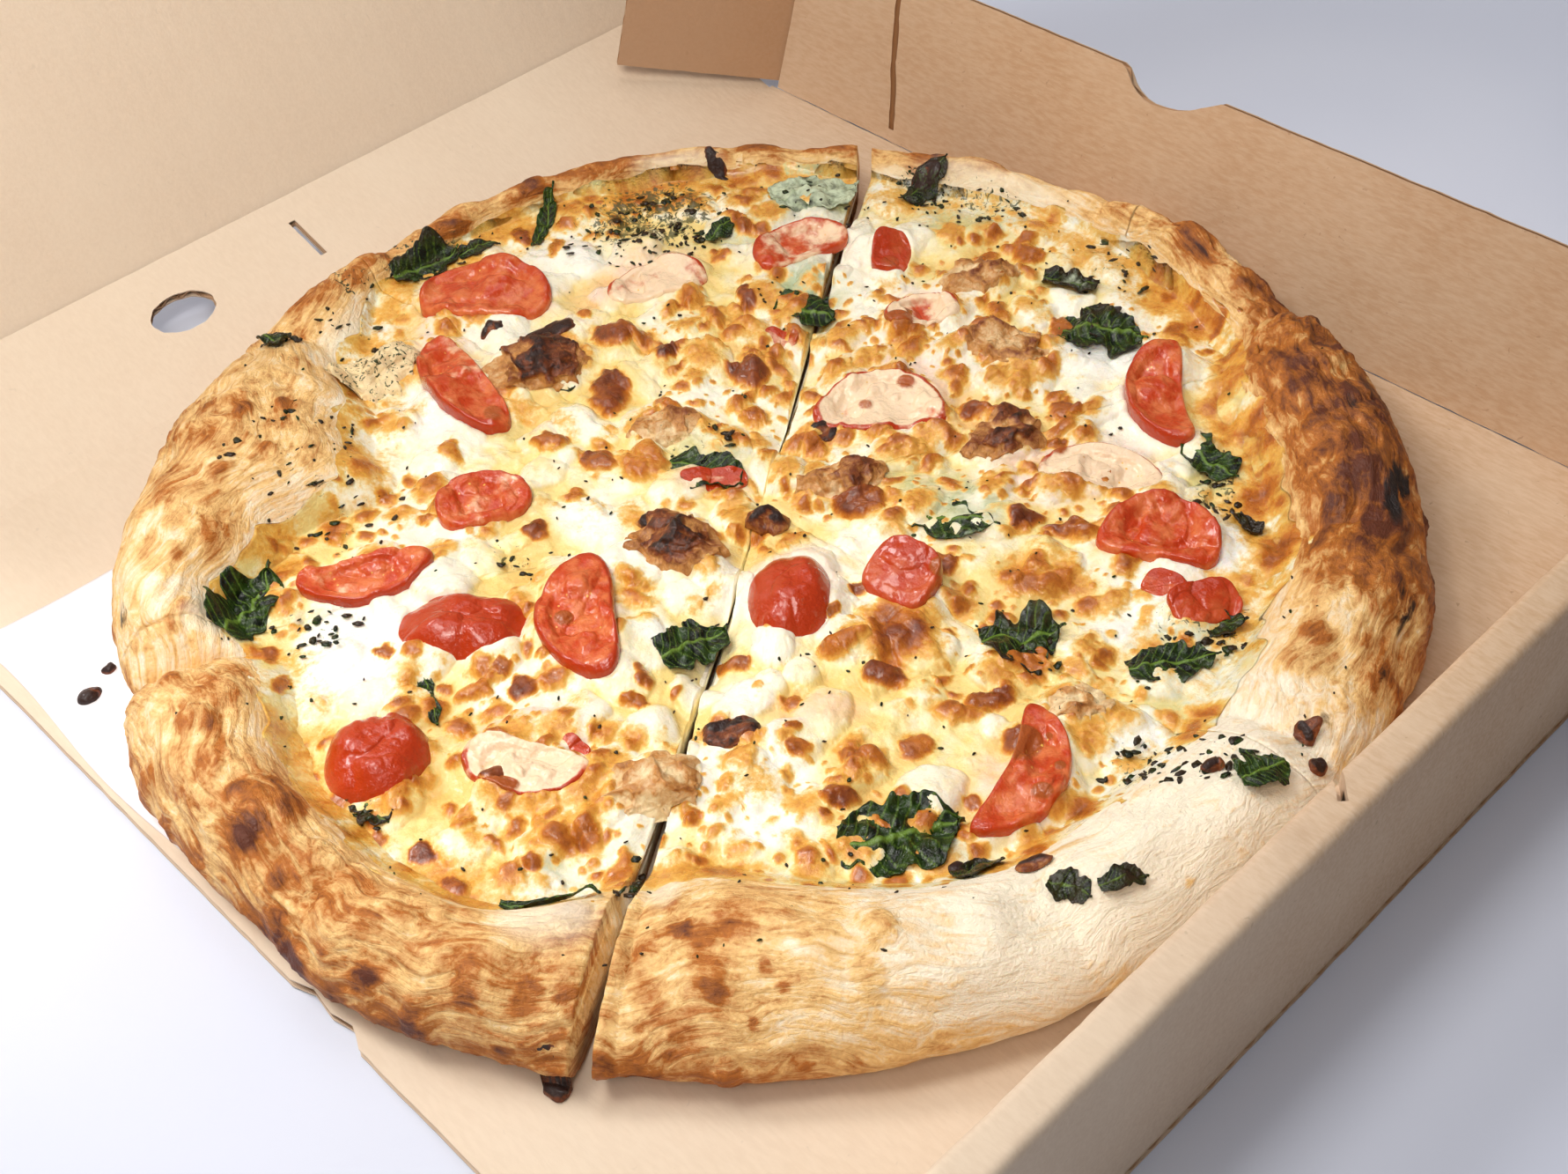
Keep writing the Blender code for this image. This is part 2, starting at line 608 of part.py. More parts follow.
def build_leaves(parts, bed, material):
    """Wilted spinach: thin wavy leaves with both faces split alike."""
    for number, topping in enumerate(LEAVES):
        bm = bmesh.new()
        bmesh.ops.create_grid(bm, x_segments=6, y_segments=4, size=0.5)
        for vert in bm.verts:
            along = vert.co.x + 0.5
            share = 0.25 + 0.75 * math.sin(math.pi * min(1.0, along ** 0.75)) ** 0.7
            across = vert.co.y * topping.width * share
            x, y = plan_point(topping, (along - 0.5) * topping.length, across)
            wave = math.sin(7.0 * along + number) * math.cos(5.0 * vert.co.y + 2.0 * number)
            vert.co = (x, y, bed.rest(x, y, 4.0) + GAP + topping.height * (0.5 + 0.5 * wave))
        bmesh.ops.triangulate(bm, faces=bm.faces)
        item = add_object(topping.name, bm, material, parts)
        solidify = item.modifiers.new("leaf", "SOLIDIFY")
        solidify.thickness = 0.7 * MM
        solidify.offset = 1.0


def main():
    """Build the box, the pizza and its toppings."""
    clear_scene()
    parts = make_collection("boxed_pizza")
    cutters = make_collection("cutters")
    board = make_material("kraft_board", (0.62, 0.42, 0.26), 0.85)
    paper = make_material("greaseproof_paper", (0.86, 0.84, 0.85), 0.6)
    crust = make_material("baked_crust", (0.72, 0.42, 0.14), 0.6)
    cheese = make_material("melted_cheese", (0.88, 0.76, 0.48), 0.35)
    tomato = make_material("tomato", (0.66, 0.09, 0.04), 0.3)
    spinach = make_material("spinach", (0.03, 0.12, 0.02), 0.4)
    chicken = make_material("roast_chicken", (0.55, 0.30, 0.12), 0.5)

    build_floor(parts, board)
    build_side_wall(parts, board)
    build_front_wall(parts, cutters, board)
    rear = build_rear_wall(parts, cutters, board)
    parent_keeping_place(build_lid(parts, board), rear)
    build_corner_flap(parts, board)
    build_paper(parts, paper)

    dough = build_dough()
    layer = build_cheese()
    bed = Bed([dough, layer])
    for index in range(SLICES):
        add_object(f"dough_{index + 1}", slice_of(dough, index), crust, parts)
        add_object(f"cheese_{index + 1}", slice_of(layer, index), cheese, parts)
    dough.free()
    layer.free()
    build_tomatoes(parts, bed, tomato)
    build_chicken(parts, bed, chicken)
    build_leaves(parts, bed, spinach)


main()
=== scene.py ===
"""The looks of a round pizza in its opened takeaway box of corrugated board.

Sizes are millimetres until a mesh is finished, and then metres. Marks on the food are placed by their
pixel in the reference picture of 1781 x 1333, which the viewpoint turns into places on the pizza.
"""
import logging
import math
from dataclasses import dataclass, field
from enum import Enum

import bpy
import numpy as np
from mathutils import Matrix, Vector, noise


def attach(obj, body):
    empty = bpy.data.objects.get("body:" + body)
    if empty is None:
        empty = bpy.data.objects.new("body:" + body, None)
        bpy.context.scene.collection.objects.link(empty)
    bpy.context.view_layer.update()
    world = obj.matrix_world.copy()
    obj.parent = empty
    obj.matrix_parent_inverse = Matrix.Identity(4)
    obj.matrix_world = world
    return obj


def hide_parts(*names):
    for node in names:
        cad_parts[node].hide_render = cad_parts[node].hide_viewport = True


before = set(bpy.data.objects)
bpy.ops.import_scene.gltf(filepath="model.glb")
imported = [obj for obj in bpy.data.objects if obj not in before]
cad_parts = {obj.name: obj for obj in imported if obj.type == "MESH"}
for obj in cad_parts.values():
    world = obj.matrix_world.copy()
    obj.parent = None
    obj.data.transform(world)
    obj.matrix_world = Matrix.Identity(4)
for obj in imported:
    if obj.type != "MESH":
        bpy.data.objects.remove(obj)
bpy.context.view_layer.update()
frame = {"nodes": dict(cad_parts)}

MM = 0.001
FLUTE = 6.4
PICTURE_WIDTH = 1781.0
PICTURE_HEIGHT = 1333.0
LOG = logging.getLogger("boxed_pizza")


class Body(Enum):
    """The bodies that the pieces ride on."""

    TRAY = "tray"
    REAR_WALL = "rear_wall"
    LID = "lid"
    CORNER_FLAP = "corner_flap"


class Slot(Enum):
    """The record's material slots."""

    BOARD = "kraft_board"
    PAPER = "greaseproof_paper"
    CRUST = "baked_crust"
    CHEESE = "melted_cheese"
    TOMATO = "tomato"
    SPINACH = "spinach"
    CHICKEN = "roast_chicken"


class TomatoCut(Enum):
    """How a piece of tomato was cut."""

    CRESCENT = "crescent"
    ROUND = "round"
    DOME = "dome"
    CHUNK = "chunk"


# Small tools: colours, nodes, noise and mesh handling


def linear(code: str) -> tuple[float, float, float, float]:
    """Turn an sRGB hex code into linear light.

    Args:
        code: Six hex digits after a hash.

    Returns:
        Red, green, blue and full alpha.
    """
    parts = [int(code[i:i + 2], 16) / 255.0 for i in (1, 3, 5)]
    return (*[p / 12.92 if p <= 0.04045 else ((p + 0.055) / 1.055) ** 2.4 for p in parts], 1.0)


def add_node(tree: bpy.types.NodeTree, kind: str, inputs: dict | None = None, **settings) -> bpy.types.Node:
    """Add a node with its settings and its inputs.

    Args:
        tree: The material's tree.
        kind: The node's type.
        inputs: Values or output sockets, by the input's name or number.
        **settings: The node's own properties.

    Returns:
        The new node.
    """
    node = tree.nodes.new(kind)
    for name, value in settings.items():
        setattr(node, name, value)
    for name, value in (inputs or {}).items():
        if isinstance(value, bpy.types.NodeSocket):
            tree.links.new(value, node.inputs[name])
        else:
            node.inputs[name].default_value = value
    return node


def smooth(low: float, high: float, value: np.ndarray) -> np.ndarray:
    """Return the smooth step from 0 at low to 1 at high."""
    share = np.clip((value - low) / (high - low), 0.0, 1.0)
    return share * share * (3.0 - 2.0 * share)


def lattice(cells: np.ndarray, seed: int) -> np.ndarray:
    """Return a fixed random value from -1 to 1 for each whole-numbered cell."""
    mixed = cells[..., 0] * 374761393 + cells[..., 1] * 668265263 + cells[..., 2] * 2147483647 + seed * 974711
    mixed = (mixed ^ (mixed >> 13)) * 1274126177
    mixed = mixed ^ (mixed >> 16)
    return (mixed & 0xFFFF) / 32767.5 - 1.0


def ripple(points: np.ndarray, size: float, seed: int = 0) -> np.ndarray:
    """Return smooth noise at points.

    Args:
        points: Places, with three numbers each, in millimetres.
        size: The width of one lump in millimetres.
        seed: Which pattern.

    Returns:
        A value from -1 to 1 for each point.
    """
    scaled = points / size
    base = np.floor(scaled).astype(np.int64)
    part = scaled - base
    part = part * part * (3.0 - 2.0 * part)
    total = np.zeros(points.shape[:-1])
    for corner in range(8):
        step = np.array([(corner >> axis) & 1 for axis in range(3)])
        weight = np.prod(np.where(step == 1, part, 1.0 - part), axis=-1)
        total += weight * lattice(base + step, seed)
    return total


def lumps(points: np.ndarray, size: float, seed: int = 0, octaves: int = 3) -> np.ndarray:
    """Return noise with finer and finer lumps laid over each other."""
    total = np.zeros(points.shape[:-1])
    for octave in range(octaves):
        total += ripple(points, size / 2.0 ** octave, seed + octave) / 2.0 ** octave
    return total / (2.0 - 2.0 ** (1 - octaves))


CRAG_STEP = 1.5
CRAG_REACH = 195.0
CRAG_TABLES: dict[float, np.ndarray] = {}


def crag(x: np.ndarray, y: np.ndarray, size: float, height: float) -> np.ndarray:
    """Return the frame's own uneven height over the plan, for lumps of a given size, read from a fine table."""
    if size not in CRAG_TABLES:
        line = np.arange(-CRAG_REACH, CRAG_REACH + CRAG_STEP, CRAG_STEP)
        CRAG_TABLES[size] = np.array([[noise.noise(Vector((a / size, b / size, size))) for b in line] for a in line])
    table = CRAG_TABLES[size]
    last = len(table) - 2
    across = np.clip((x + CRAG_REACH) / CRAG_STEP, 0.0, last + 0.999)
    along = np.clip((y + CRAG_REACH) / CRAG_STEP, 0.0, last + 0.999)
    column, row = np.floor(across).astype(int), np.floor(along).astype(int)
    part, rest = across - column, along - row
    low = table[column, row] * (1.0 - part) + table[column + 1, row] * part
    high = table[column, row + 1] * (1.0 - part) + table[column + 1, row + 1] * part
    return height * (low * (1.0 - rest) + high * rest)


def deselect() -> None:
    """Leave edit mode and deselect everything."""
    if bpy.context.object is not None and bpy.context.object.mode != "OBJECT":
        bpy.ops.object.mode_set(mode="OBJECT")
    bpy.ops.object.select_all(action="DESELECT")


def pick(piece: bpy.types.Object) -> None:
    """Select one object alone and make it active."""
    deselect()
    piece.select_set(True)
    bpy.context.view_layer.objects.active = piece


def coords(piece: bpy.types.Object) -> np.ndarray:
    """Return the places of a mesh's vertices in its own units."""
    flat = np.empty(len(piece.data.vertices) * 3, dtype=np.float32)
    piece.data.vertices.foreach_get("co", flat)
    return flat.reshape(-1, 3).astype(float)


def place(piece: bpy.types.Object, points: np.ndarray) -> None:
    """Move a mesh's vertices to new places."""
    piece.data.vertices.foreach_set("co", np.ascontiguousarray(points, dtype=np.float32).ravel())
    piece.data.update()


def paint(piece: bpy.types.Object, name: str, values: np.ndarray) -> None:
    """Give each vertex a number, or three of them, under a name."""
    single = values.ndim == 1
    layer = piece.data.attributes.new(name, "FLOAT" if single else "FLOAT_VECTOR", "POINT")
    layer.data.foreach_set("value" if single else "vector", np.ascontiguousarray(values, dtype=np.float32).ravel())


def apply_modifiers(piece: bpy.types.Object) -> None:
    """Apply every modifier in order."""
    pick(piece)
    for modifier in list(piece.modifiers):
        bpy.ops.object.modifier_apply(modifier=modifier.name)


def finish_piece(piece: bpy.types.Object, name: str, material: bpy.types.Material, body: Body, slot: Slot,
                 *nodes: str) -> bpy.types.Object:
    """Turn a piece in millimetres into a finished one.

    Args:
        piece: The object, at the origin.
        name: Its name.
        material: Its finish.
        body: The body that it rides on.
        slot: The record's slot that it takes its finish from; not used here.
        *nodes: The solids that it stands for.

    Returns:
        The same object.
    """
    place(piece, coords(piece) * MM)
    piece.name = name
    piece.data.name = name
    piece.data.materials.clear()
    piece.data.materials.append(material)
    piece.data.polygons.foreach_set("use_smooth", [True] * len(piece.data.polygons))
    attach(piece, body.value)
    if nodes:
        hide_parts(*nodes)
    LOG.info("%s: %d faces", name, len(piece.data.polygons))
    return piece


def sharpen(piece: bpy.types.Object, degrees: float) -> None:
    """Keep edges crisp where the faces turn by more than an angle."""
    pick(piece)
    bpy.ops.object.shade_smooth_by_angle(angle=math.radians(degrees))


# The view of the reference picture


@dataclass(frozen=True)
class Viewpoint:
    """Where the picture was taken from, and its lens.

    The yaw is the heading of the view from +X, and the pitch is how far it looks down.
    """

    place: tuple[float, float, float] = (-257.5, -298.3, 363.5)
    yaw: float = 48.505
    pitch: float = 44.065
    roll: float = -4.276
    focal: float = 2259.76

    def axes(self) -> tuple[np.ndarray, np.ndarray, np.ndarray]:
        """Return the picture's right, up and forward directions."""
        yaw, pitch, roll = (math.radians(a) for a in (self.yaw, self.pitch, self.roll))
        forward = np.array((math.cos(yaw) * math.cos(pitch), math.sin(yaw) * math.cos(pitch), -math.sin(pitch)))
        right = np.array((math.sin(yaw), -math.cos(yaw), 0.0))
        up = np.cross(right, forward)
        turned = math.cos(roll) * right + math.sin(roll) * up
        return turned, math.cos(roll) * up - math.sin(roll) * right, forward

    def project(self, points: np.ndarray) -> tuple[np.ndarray, np.ndarray, np.ndarray]:
        """Return the pixel across, the pixel down and the pixels per millimetre of points."""
        right, up, forward = self.axes()
        rays = points - np.array(self.place)
        depth = rays @ forward
        across = PICTURE_WIDTH / 2.0 + self.focal * (rays @ right) / depth
        down = PICTURE_HEIGHT / 2.0 - self.focal * (rays @ up) / depth
        return across, down, self.focal / depth

    def on_level(self, across: float, down: float, height: float) -> tuple[float, float]:
        """Return the place in the plan where a pixel meets a level."""
        right, up, forward = self.axes()
        ray = forward + right * (across - PICTURE_WIDTH / 2.0) / self.focal
        ray = ray - up * (down - PICTURE_HEIGHT / 2.0) / self.focal
        reach = (height - self.place[2]) / ray[2]
        return self.place[0] + reach * ray[0], self.place[1] + reach * ray[1]

    def set_camera(self) -> None:
        """Add the camera and make it the scene's own."""
        right, up, forward = self.axes()
        data = bpy.data.cameras.new("view")
        data.sensor_width = 36.0
        data.lens = self.focal / PICTURE_WIDTH * data.sensor_width
        data.clip_start = 0.01
        data.clip_end = 20.0
        camera = bpy.data.objects.new("view", data)
        turn = Matrix((right, up, -forward)).transposed().to_4x4()
        camera.matrix_world = Matrix.Translation(Vector(self.place) * MM) @ turn
        bpy.context.scene.collection.objects.link(camera)
        bpy.context.scene.camera = camera


VIEW = Viewpoint()


@dataclass(frozen=True)
class Mark:
    """A spot on the food: its middle and width in the picture, its shape and its strength."""

    across: float
    down: float
    width: float
    strength: float = 1.0
    ratio: float = 0.72
    turn: float = 0.0

    def reach(self, across: np.ndarray, down: np.ndarray) -> np.ndarray:
        """Return the distance of pixels from the middle, where 1 is the spot's edge."""
        turn = math.radians(self.turn)
        dx = (across - self.across) * math.cos(turn) + (down - self.down) * math.sin(turn)
        dy = (down - self.down) * math.cos(turn) - (across - self.across) * math.sin(turn)
        return np.hypot(dx * 2.0 / self.width, dy * 2.0 / (self.width * self.ratio))


def spots(marks: list[Mark], across: np.ndarray, down: np.ndarray, edge: float = 0.35) -> np.ndarray:
    """Return how far inside any of the marks each pixel is, from 0 to the mark's strength.

    Args:
        marks: The marks.
        across: Pixels across.
        down: Pixels down.
        edge: The share of a mark's radius over which it fades.

    Returns:
        The strongest mark's value at each pixel.
    """
    total = np.zeros(across.shape)
    for mark in marks:
        reach = mark.reach(across, down)
        total = np.maximum(total, mark.strength * (1.0 - smooth(1.0 - edge, 1.0 + edge, reach)))
    return total


def domes(marks: list[Mark], across: np.ndarray, down: np.ndarray, scale: np.ndarray, rise: float) -> np.ndarray:
    """Return the height in millimetres of the rounded blisters at the marks.

    Args:
        marks: The blisters.
        across: Pixels across.
        down: Pixels down.
        scale: Pixels per millimetre.
        rise: The height as a share of the radius.

    Returns:
        The height at each pixel.
    """
    total = np.zeros(across.shape)
    for mark in marks:
        reach = mark.reach(across, down)
        radius = mark.width / 2.0 / scale
        total = np.maximum(total, rise * radius * np.sqrt(np.clip(1.0 - reach * reach, 0.0, 1.0)))
    return total


# The form of the pizza, the same as the solids'


@dataclass(frozen=True)
class Pillow:
    """One bulge of the crust, by its heading from the middle."""

    centre: float
    half_width: float
    top: float
    outer: float


def turn_between(angle: np.ndarray, centre: float) -> np.ndarray:
    """Return the smallest turn between angles in degrees."""
    return np.abs((angle - centre + 180.0) % 360.0 - 180.0)


def smooth_curve(points: list[tuple[float, float]], steps: int) -> np.ndarray:
    """Return a smooth line through points.

    Args:
        points: The points to pass through.
        steps: How many steps each stretch has.

    Returns:
        The points of the line, one row each.
    """
    known = np.array(points, dtype=float)
    known = np.vstack((2 * known[0] - known[1], known, 2 * known[-1] - known[-2]))
    rows = []
    for index in range(1, len(known) - 2):
        a, b, c, d = known[index - 1:index + 3]
        for step in range(steps):
            t = step / steps
            rows.append(0.5 * (2 * b + (c - a) * t + (2 * a - 5 * b + 4 * c - d) * t * t
                               + (3 * b - a - 3 * c + d) * t ** 3))
    rows.append(known[-2])
    return np.array(rows)


@dataclass(frozen=True)
class PizzaForm:
    """The heights of the dough and the cheese over the plan."""

    foot: float = 4.0
    crumb: float = 6.0
    cheese: float = 3.9
    paper_top: float = 4.2
    valley: float = 13.0
    fold_depth: float = 5.0
    cut_start: float = 34.0
    slices: int = 6
    cut_gap: float = 0.6
    open_cut_gap: float = 1.4
    open_cut_spread: float = 0.6
    pillows: tuple[Pillow, ...] = (
        Pillow(20.0, 21.0, 17.5, 167.0), Pillow(350.0, 15.5, 24.0, 164.5), Pillow(320.0, 20.0, 27.5, 170.0),
        Pillow(292.0, 16.0, 26.0, 171.0), Pillow(263.0, 16.5, 24.5, 172.0), Pillow(234.0, 19.5, 25.5, 173.0),
        Pillow(202.0, 15.5, 24.5, 175.0), Pillow(176.0, 17.5, 27.0, 171.0), Pillow(132.0, 25.5, 29.0, 168.0),
        Pillow(101.0, 9.5, 19.5, 169.0), Pillow(65.0, 29.5, 17.0, 169.0),
    )
    inner_edge: tuple[tuple[float, float], ...] = (
        (5, 152), (25, 151), (40, 157), (70, 160), (92, 154), (106, 134), (118, 109), (131, 99), (141, 123),
        (151, 136), (161, 126), (180, 139), (200, 142), (219, 118), (245, 131), (275, 128), (300, 131),
        (328, 128), (342, 143),
    )
    rim: tuple[tuple[float, float], ...] = (
        (0.0, 0.0), (0.10, 0.36), (0.22, 0.66), (0.40, 0.92), (0.60, 1.0), (0.80, 0.84), (0.94, 0.50), (1.0, 0.16),
    )
    under: tuple[tuple[float, float], ...] = ((0.0, 7.0), (1.5, 3.4), (6.0, 1.0), (14.0, 0.0))

    def inner(self, angle: np.ndarray) -> np.ndarray:
        """Return the crust's inner radius at angles in degrees."""
        result = np.zeros(angle.shape)
        for (low_angle, low), (high_angle, high) in zip(self.inner_edge, self.inner_edge[1:] + self.inner_edge[:1]):
            span = (high_angle - low_angle) % 360.0
            ahead = (angle - low_angle) % 360.0
            value = low + (high - low) * (0.5 - 0.5 * np.cos(math.pi * ahead / span))
            result = np.where(ahead <= span, value, result)
        return result

    def rim_at(self, angle: np.ndarray) -> tuple[np.ndarray, np.ndarray, np.ndarray]:
        """Return the crust's top height, inner radius and outer radius at angles in degrees."""
        shares = np.array([np.sqrt(np.clip(1.0 - (turn_between(angle, p.centre) / p.half_width) ** 2, 0.0, None))
                           for p in self.pillows])
        tops = np.array([p.top for p in self.pillows]).reshape((-1,) + (1,) * angle.ndim)
        outers = np.array([p.outer for p in self.pillows]).reshape(tops.shape)
        top = (self.valley + shares * (tops - self.valley)).max(axis=0)
        weights = shares ** 3 + 1e-6
        outer = (weights * outers).sum(axis=0) / weights.sum(axis=0)
        outer -= self.fold_depth * (1.0 - shares.max(axis=0)) ** 2
        return top, self.inner(angle), outer

    def crust_lump(self, x: np.ndarray, y: np.ndarray, height: np.ndarray) -> np.ndarray:
        """Return the frame's own lumps on the crust where its height is a given share."""
        lift = np.clip(height - 0.6, 0.0, None) * 2.5
        result = np.zeros(x.shape)
        near = lift > 0.0
        result[near] = crag(x[near], y[near], 13.0, 2.6) * lift[near]
        return result

    def heights(self, x: np.ndarray, y: np.ndarray) -> tuple[np.ndarray, np.ndarray]:
        """Return the dough's and the bare cheese's height above the table over the plan."""
        angle = np.degrees(np.arctan2(y, x)) % 360.0
        top, inner, outer = self.rim_at(angle)
        table = smooth_curve(list(self.rim), 12)
        share = (np.hypot(x, y) - inner) / (outer - inner)
        height = np.interp(share, table[:, 0], table[:, 1])
        dough = self.crumb + (top - self.crumb) * height + self.crust_lump(x, y, height)
        flat = self.crumb + self.cheese + crag(x, y, 17.0, 1.7) + crag(x, y, 9.0, 0.8)
        return self.foot + dough, self.foot + flat

    def cut(self, angle: float, side: float) -> tuple[float, np.ndarray, float]:
        """Return the heading, the normal and the offset of a cut, for the slice on one side of it."""
        opened = abs((angle - self.cut_start) % 180.0) < 1.0
        turn = math.radians(angle + (side * self.open_cut_spread if opened else 0.0))
        normal = np.array((-math.sin(turn), math.cos(turn))) * side
        return turn, normal, (self.open_cut_gap if opened else self.cut_gap) / 2.0

    def wedge(self, index: int, count: int) -> tuple[np.ndarray, np.ndarray]:
        """Return the point of a slice and the headings across it in radians."""
        start = self.cut_start + index * 360.0 / self.slices
        first, normal_a, gap_a = self.cut(start, 1.0)
        last, normal_b, gap_b = self.cut(start + 360.0 / self.slices, -1.0)
        apex = np.linalg.solve(np.array((normal_a, normal_b)), np.array((gap_a, gap_b)))
        return apex, np.linspace(first, last, count)


FORM = PizzaForm()


def reach_at(apex: np.ndarray, heading: np.ndarray, radius_at) -> tuple[np.ndarray, np.ndarray]:
    """Return how far from a slice's point each heading meets a radius, and the angle there.

    Args:
        apex: The slice's point.
        heading: The headings in radians.
        radius_at: A function from angles in degrees to a radius about the middle.

    Returns:
        The distances, and the angles about the middle in degrees.
    """
    along = apex[0] * np.cos(heading) + apex[1] * np.sin(heading)
    angle = np.degrees(heading)
    for _ in range(3):
        radius = radius_at(angle % 360.0)
        distance = np.sqrt(np.clip(along ** 2 - apex @ apex + radius ** 2, 0.0, None)) - along
        x = apex[0] + distance * np.cos(heading)
        y = apex[1] + distance * np.sin(heading)
        angle = np.degrees(np.arctan2(y, x)) % 360.0
    return distance, angle


def grid_normals(points: np.ndarray) -> np.ndarray:
    """Return the normals of a grid of points, three numbers each."""
    across = np.gradient(points, axis=1)
    along = np.gradient(points, axis=0)
    normal = np.cross(along, across)
    return normal / np.maximum(np.linalg.norm(normal, axis=-1, keepdims=True), 1e-9)


def grid_piece(name: str, points: np.ndarray, closed: bool, paints: dict[str, np.ndarray]) -> bpy.types.Object:
    """Shape a primitive grid into a sheet of points, and close its two sides if it is a slice.

    Args:
        name: The object's name.
        points: Rows and columns of places.
        closed: Whether the first and the last column's outlines are filled.
        paints: The values that the mesh carries, by name, with a row and a column for each point.

    Returns:
        The new object.
    """
    rows, columns = points.shape[:2]
    deselect()
    bpy.ops.mesh.primitive_grid_add(x_subdivisions=columns - 1, y_subdivisions=rows - 1, size=1.0)
    piece = bpy.context.object
    piece.name = name
    order = coords(piece)
    column = np.rint((order[:, 0] + 0.5) * (columns - 1)).astype(int)
    row = np.rint((order[:, 1] + 0.5) * (rows - 1)).astype(int)
    place(piece, points[row, column])
    for paint_name, values in paints.items():
        paint(piece, paint_name, values[row, column])
    if not closed:
        return piece
    bpy.context.tool_settings.mesh_select_mode = (False, True, False)
    for side in (0, columns - 1):
        ends = np.empty(len(piece.data.edges) * 2, dtype=np.int32)
        piece.data.edges.foreach_get("vertices", ends)
        on_side = np.zeros(len(piece.data.vertices), dtype=bool)
        on_side[:len(column)] = column == side
        piece.data.polygons.foreach_set("select", np.zeros(len(piece.data.polygons), dtype=bool))
        piece.data.vertices.foreach_set("select", on_side)
        piece.data.edges.foreach_set("select", on_side[ends].reshape(-1, 2).all(axis=1))
        bpy.ops.object.mode_set(mode="EDIT")
        bpy.ops.mesh.edge_face_add()
        bpy.ops.object.mode_set(mode="OBJECT")
    bpy.ops.object.mode_set(mode="EDIT")
    bpy.ops.mesh.select_all(action="SELECT")
    bpy.ops.mesh.remove_doubles(threshold=1e-4)
    bpy.ops.mesh.normals_make_consistent(inside=False)
    bpy.ops.object.mode_set(mode="OBJECT")
    return piece


# Marks read from the picture: across, down, width, then strength, ratio and turn where they matter

BLISTERS = [Mark(*spot) for spot in (
    (759, 404, 26), (848, 342, 24), (700, 388, 46, 0.9), (694, 441, 42, 1.0), (851, 426, 44, 1.0),
    (1020, 364, 34, 1.0), (1010, 298, 22, 0.5), (1080, 268, 30, 0.5), (811, 394, 28, 0.45), (811, 360, 32, 0.4),
    (834, 357, 26, 0.4), (788, 342, 30, 0.5), (908, 380, 28, 0.6), (845, 261, 28, 0.8), (848, 233, 20, 0.7),
    (819, 294, 22, 0.7), (1029, 434, 24, 0.7), (983, 460, 18, 0.6), (1170, 296, 34, 0.7), (1210, 467, 38, 0.9),
    (1126, 433, 16, 0.5), (1108, 469, 30, 0.8), (1203, 509, 22, 0.7), (1155, 440, 26, 0.5), (1128, 509, 26, 0.8),
    (1166, 591, 40, 0.9), (1214, 607, 52, 0.9, 0.3), (1203, 371, 30, 0.8), (1072, 643, 34, 0.9), (608, 601, 28, 0.9),
    (640, 702, 24, 0.8), (595, 780, 30, 0.9), (571, 764, 24, 0.8), (732, 775, 22, 0.8), (729, 764, 16, 0.7),
    (723, 799, 36, 0.8, 0.5), (770, 783, 18, 0.7), (946, 703, 15, 0.8), (975, 675, 22, 0.9), (872, 719, 18, 0.7),
    (898, 796, 24, 0.7), (901, 828, 22, 0.7), (908, 853, 28, 0.7), (984, 863, 50, 0.7, 0.55),
    (955, 908, 48, 0.9, 0.5), (936, 930, 16, 0.7), (783, 930, 24, 0.6), (825, 898, 16, 0.4),
    (1006, 770, 52, 0.9, 0.5), (958, 738, 60, 0.7, 0.35, -20), (1041, 847, 34, 0.8), (566, 891, 50, 0.9, 0.4),
    (611, 943, 22, 0.6), (579, 823, 16, 0.6), (834, 751, 42, 0.8, 0.45), (975, 573, 60, 1.0, 0.6),
    (911, 570, 32, 0.5), (442, 745, 24, 0.7), (474, 751, 26, 0.6), (503, 777, 18, 0.7), (541, 780, 60, 0.6, 0.3, -15),
    (474, 884, 42, 0.5), (455, 904, 30, 0.6), (525, 939, 26, 0.5), (480, 971, 36, 1.0), (429, 955, 22, 0.8),
    (602, 981, 24, 0.8), (308, 745, 28, 0.8), (318, 780, 26, 0.8), (493, 742, 20, 0.6),
    (1125, 795, 62, 0.9, 0.4, -10), (1098, 812, 50, 0.7, 0.35, -15), (981, 860, 50, 0.5, 0.6),
    (1160, 843, 50, 1.0, 0.8), (1105, 912, 22, 0.8), (1184, 898, 28, 0.8), (1204, 869, 15, 0.8), (1191, 836, 13, 0.7),
    (1163, 754, 62, 0.8, 0.35), (520, 1007, 34, 0.8), (787, 930, 26, 0.6), (609, 937, 24, 0.6), (528, 937, 32, 0.5),
    (450, 918, 32, 0.5), (594, 273, 26, 0.8), (635, 282, 20, 0.6), (666, 355, 20, 0.6), (692, 451, 46, 1.0),
    (575, 905, 30, 0.6, 0.5), (730, 530, 60, 0.6, 0.6), (680, 530, 40, 0.9), (625, 505, 45, 0.8, 0.4),
    (760, 470, 34, 0.6), (655, 565, 24, 0.6), (515, 520, 30, 0.5), (560, 470, 26, 0.6), (1040, 520, 30, 0.5),
    (905, 440, 22, 0.5), (880, 400, 24, 0.5), (745, 400, 20, 0.4), (590, 690, 18, 0.4), (700, 905, 22, 0.4),
    (860, 780, 16, 0.4), (680, 840, 20, 0.4),
)]
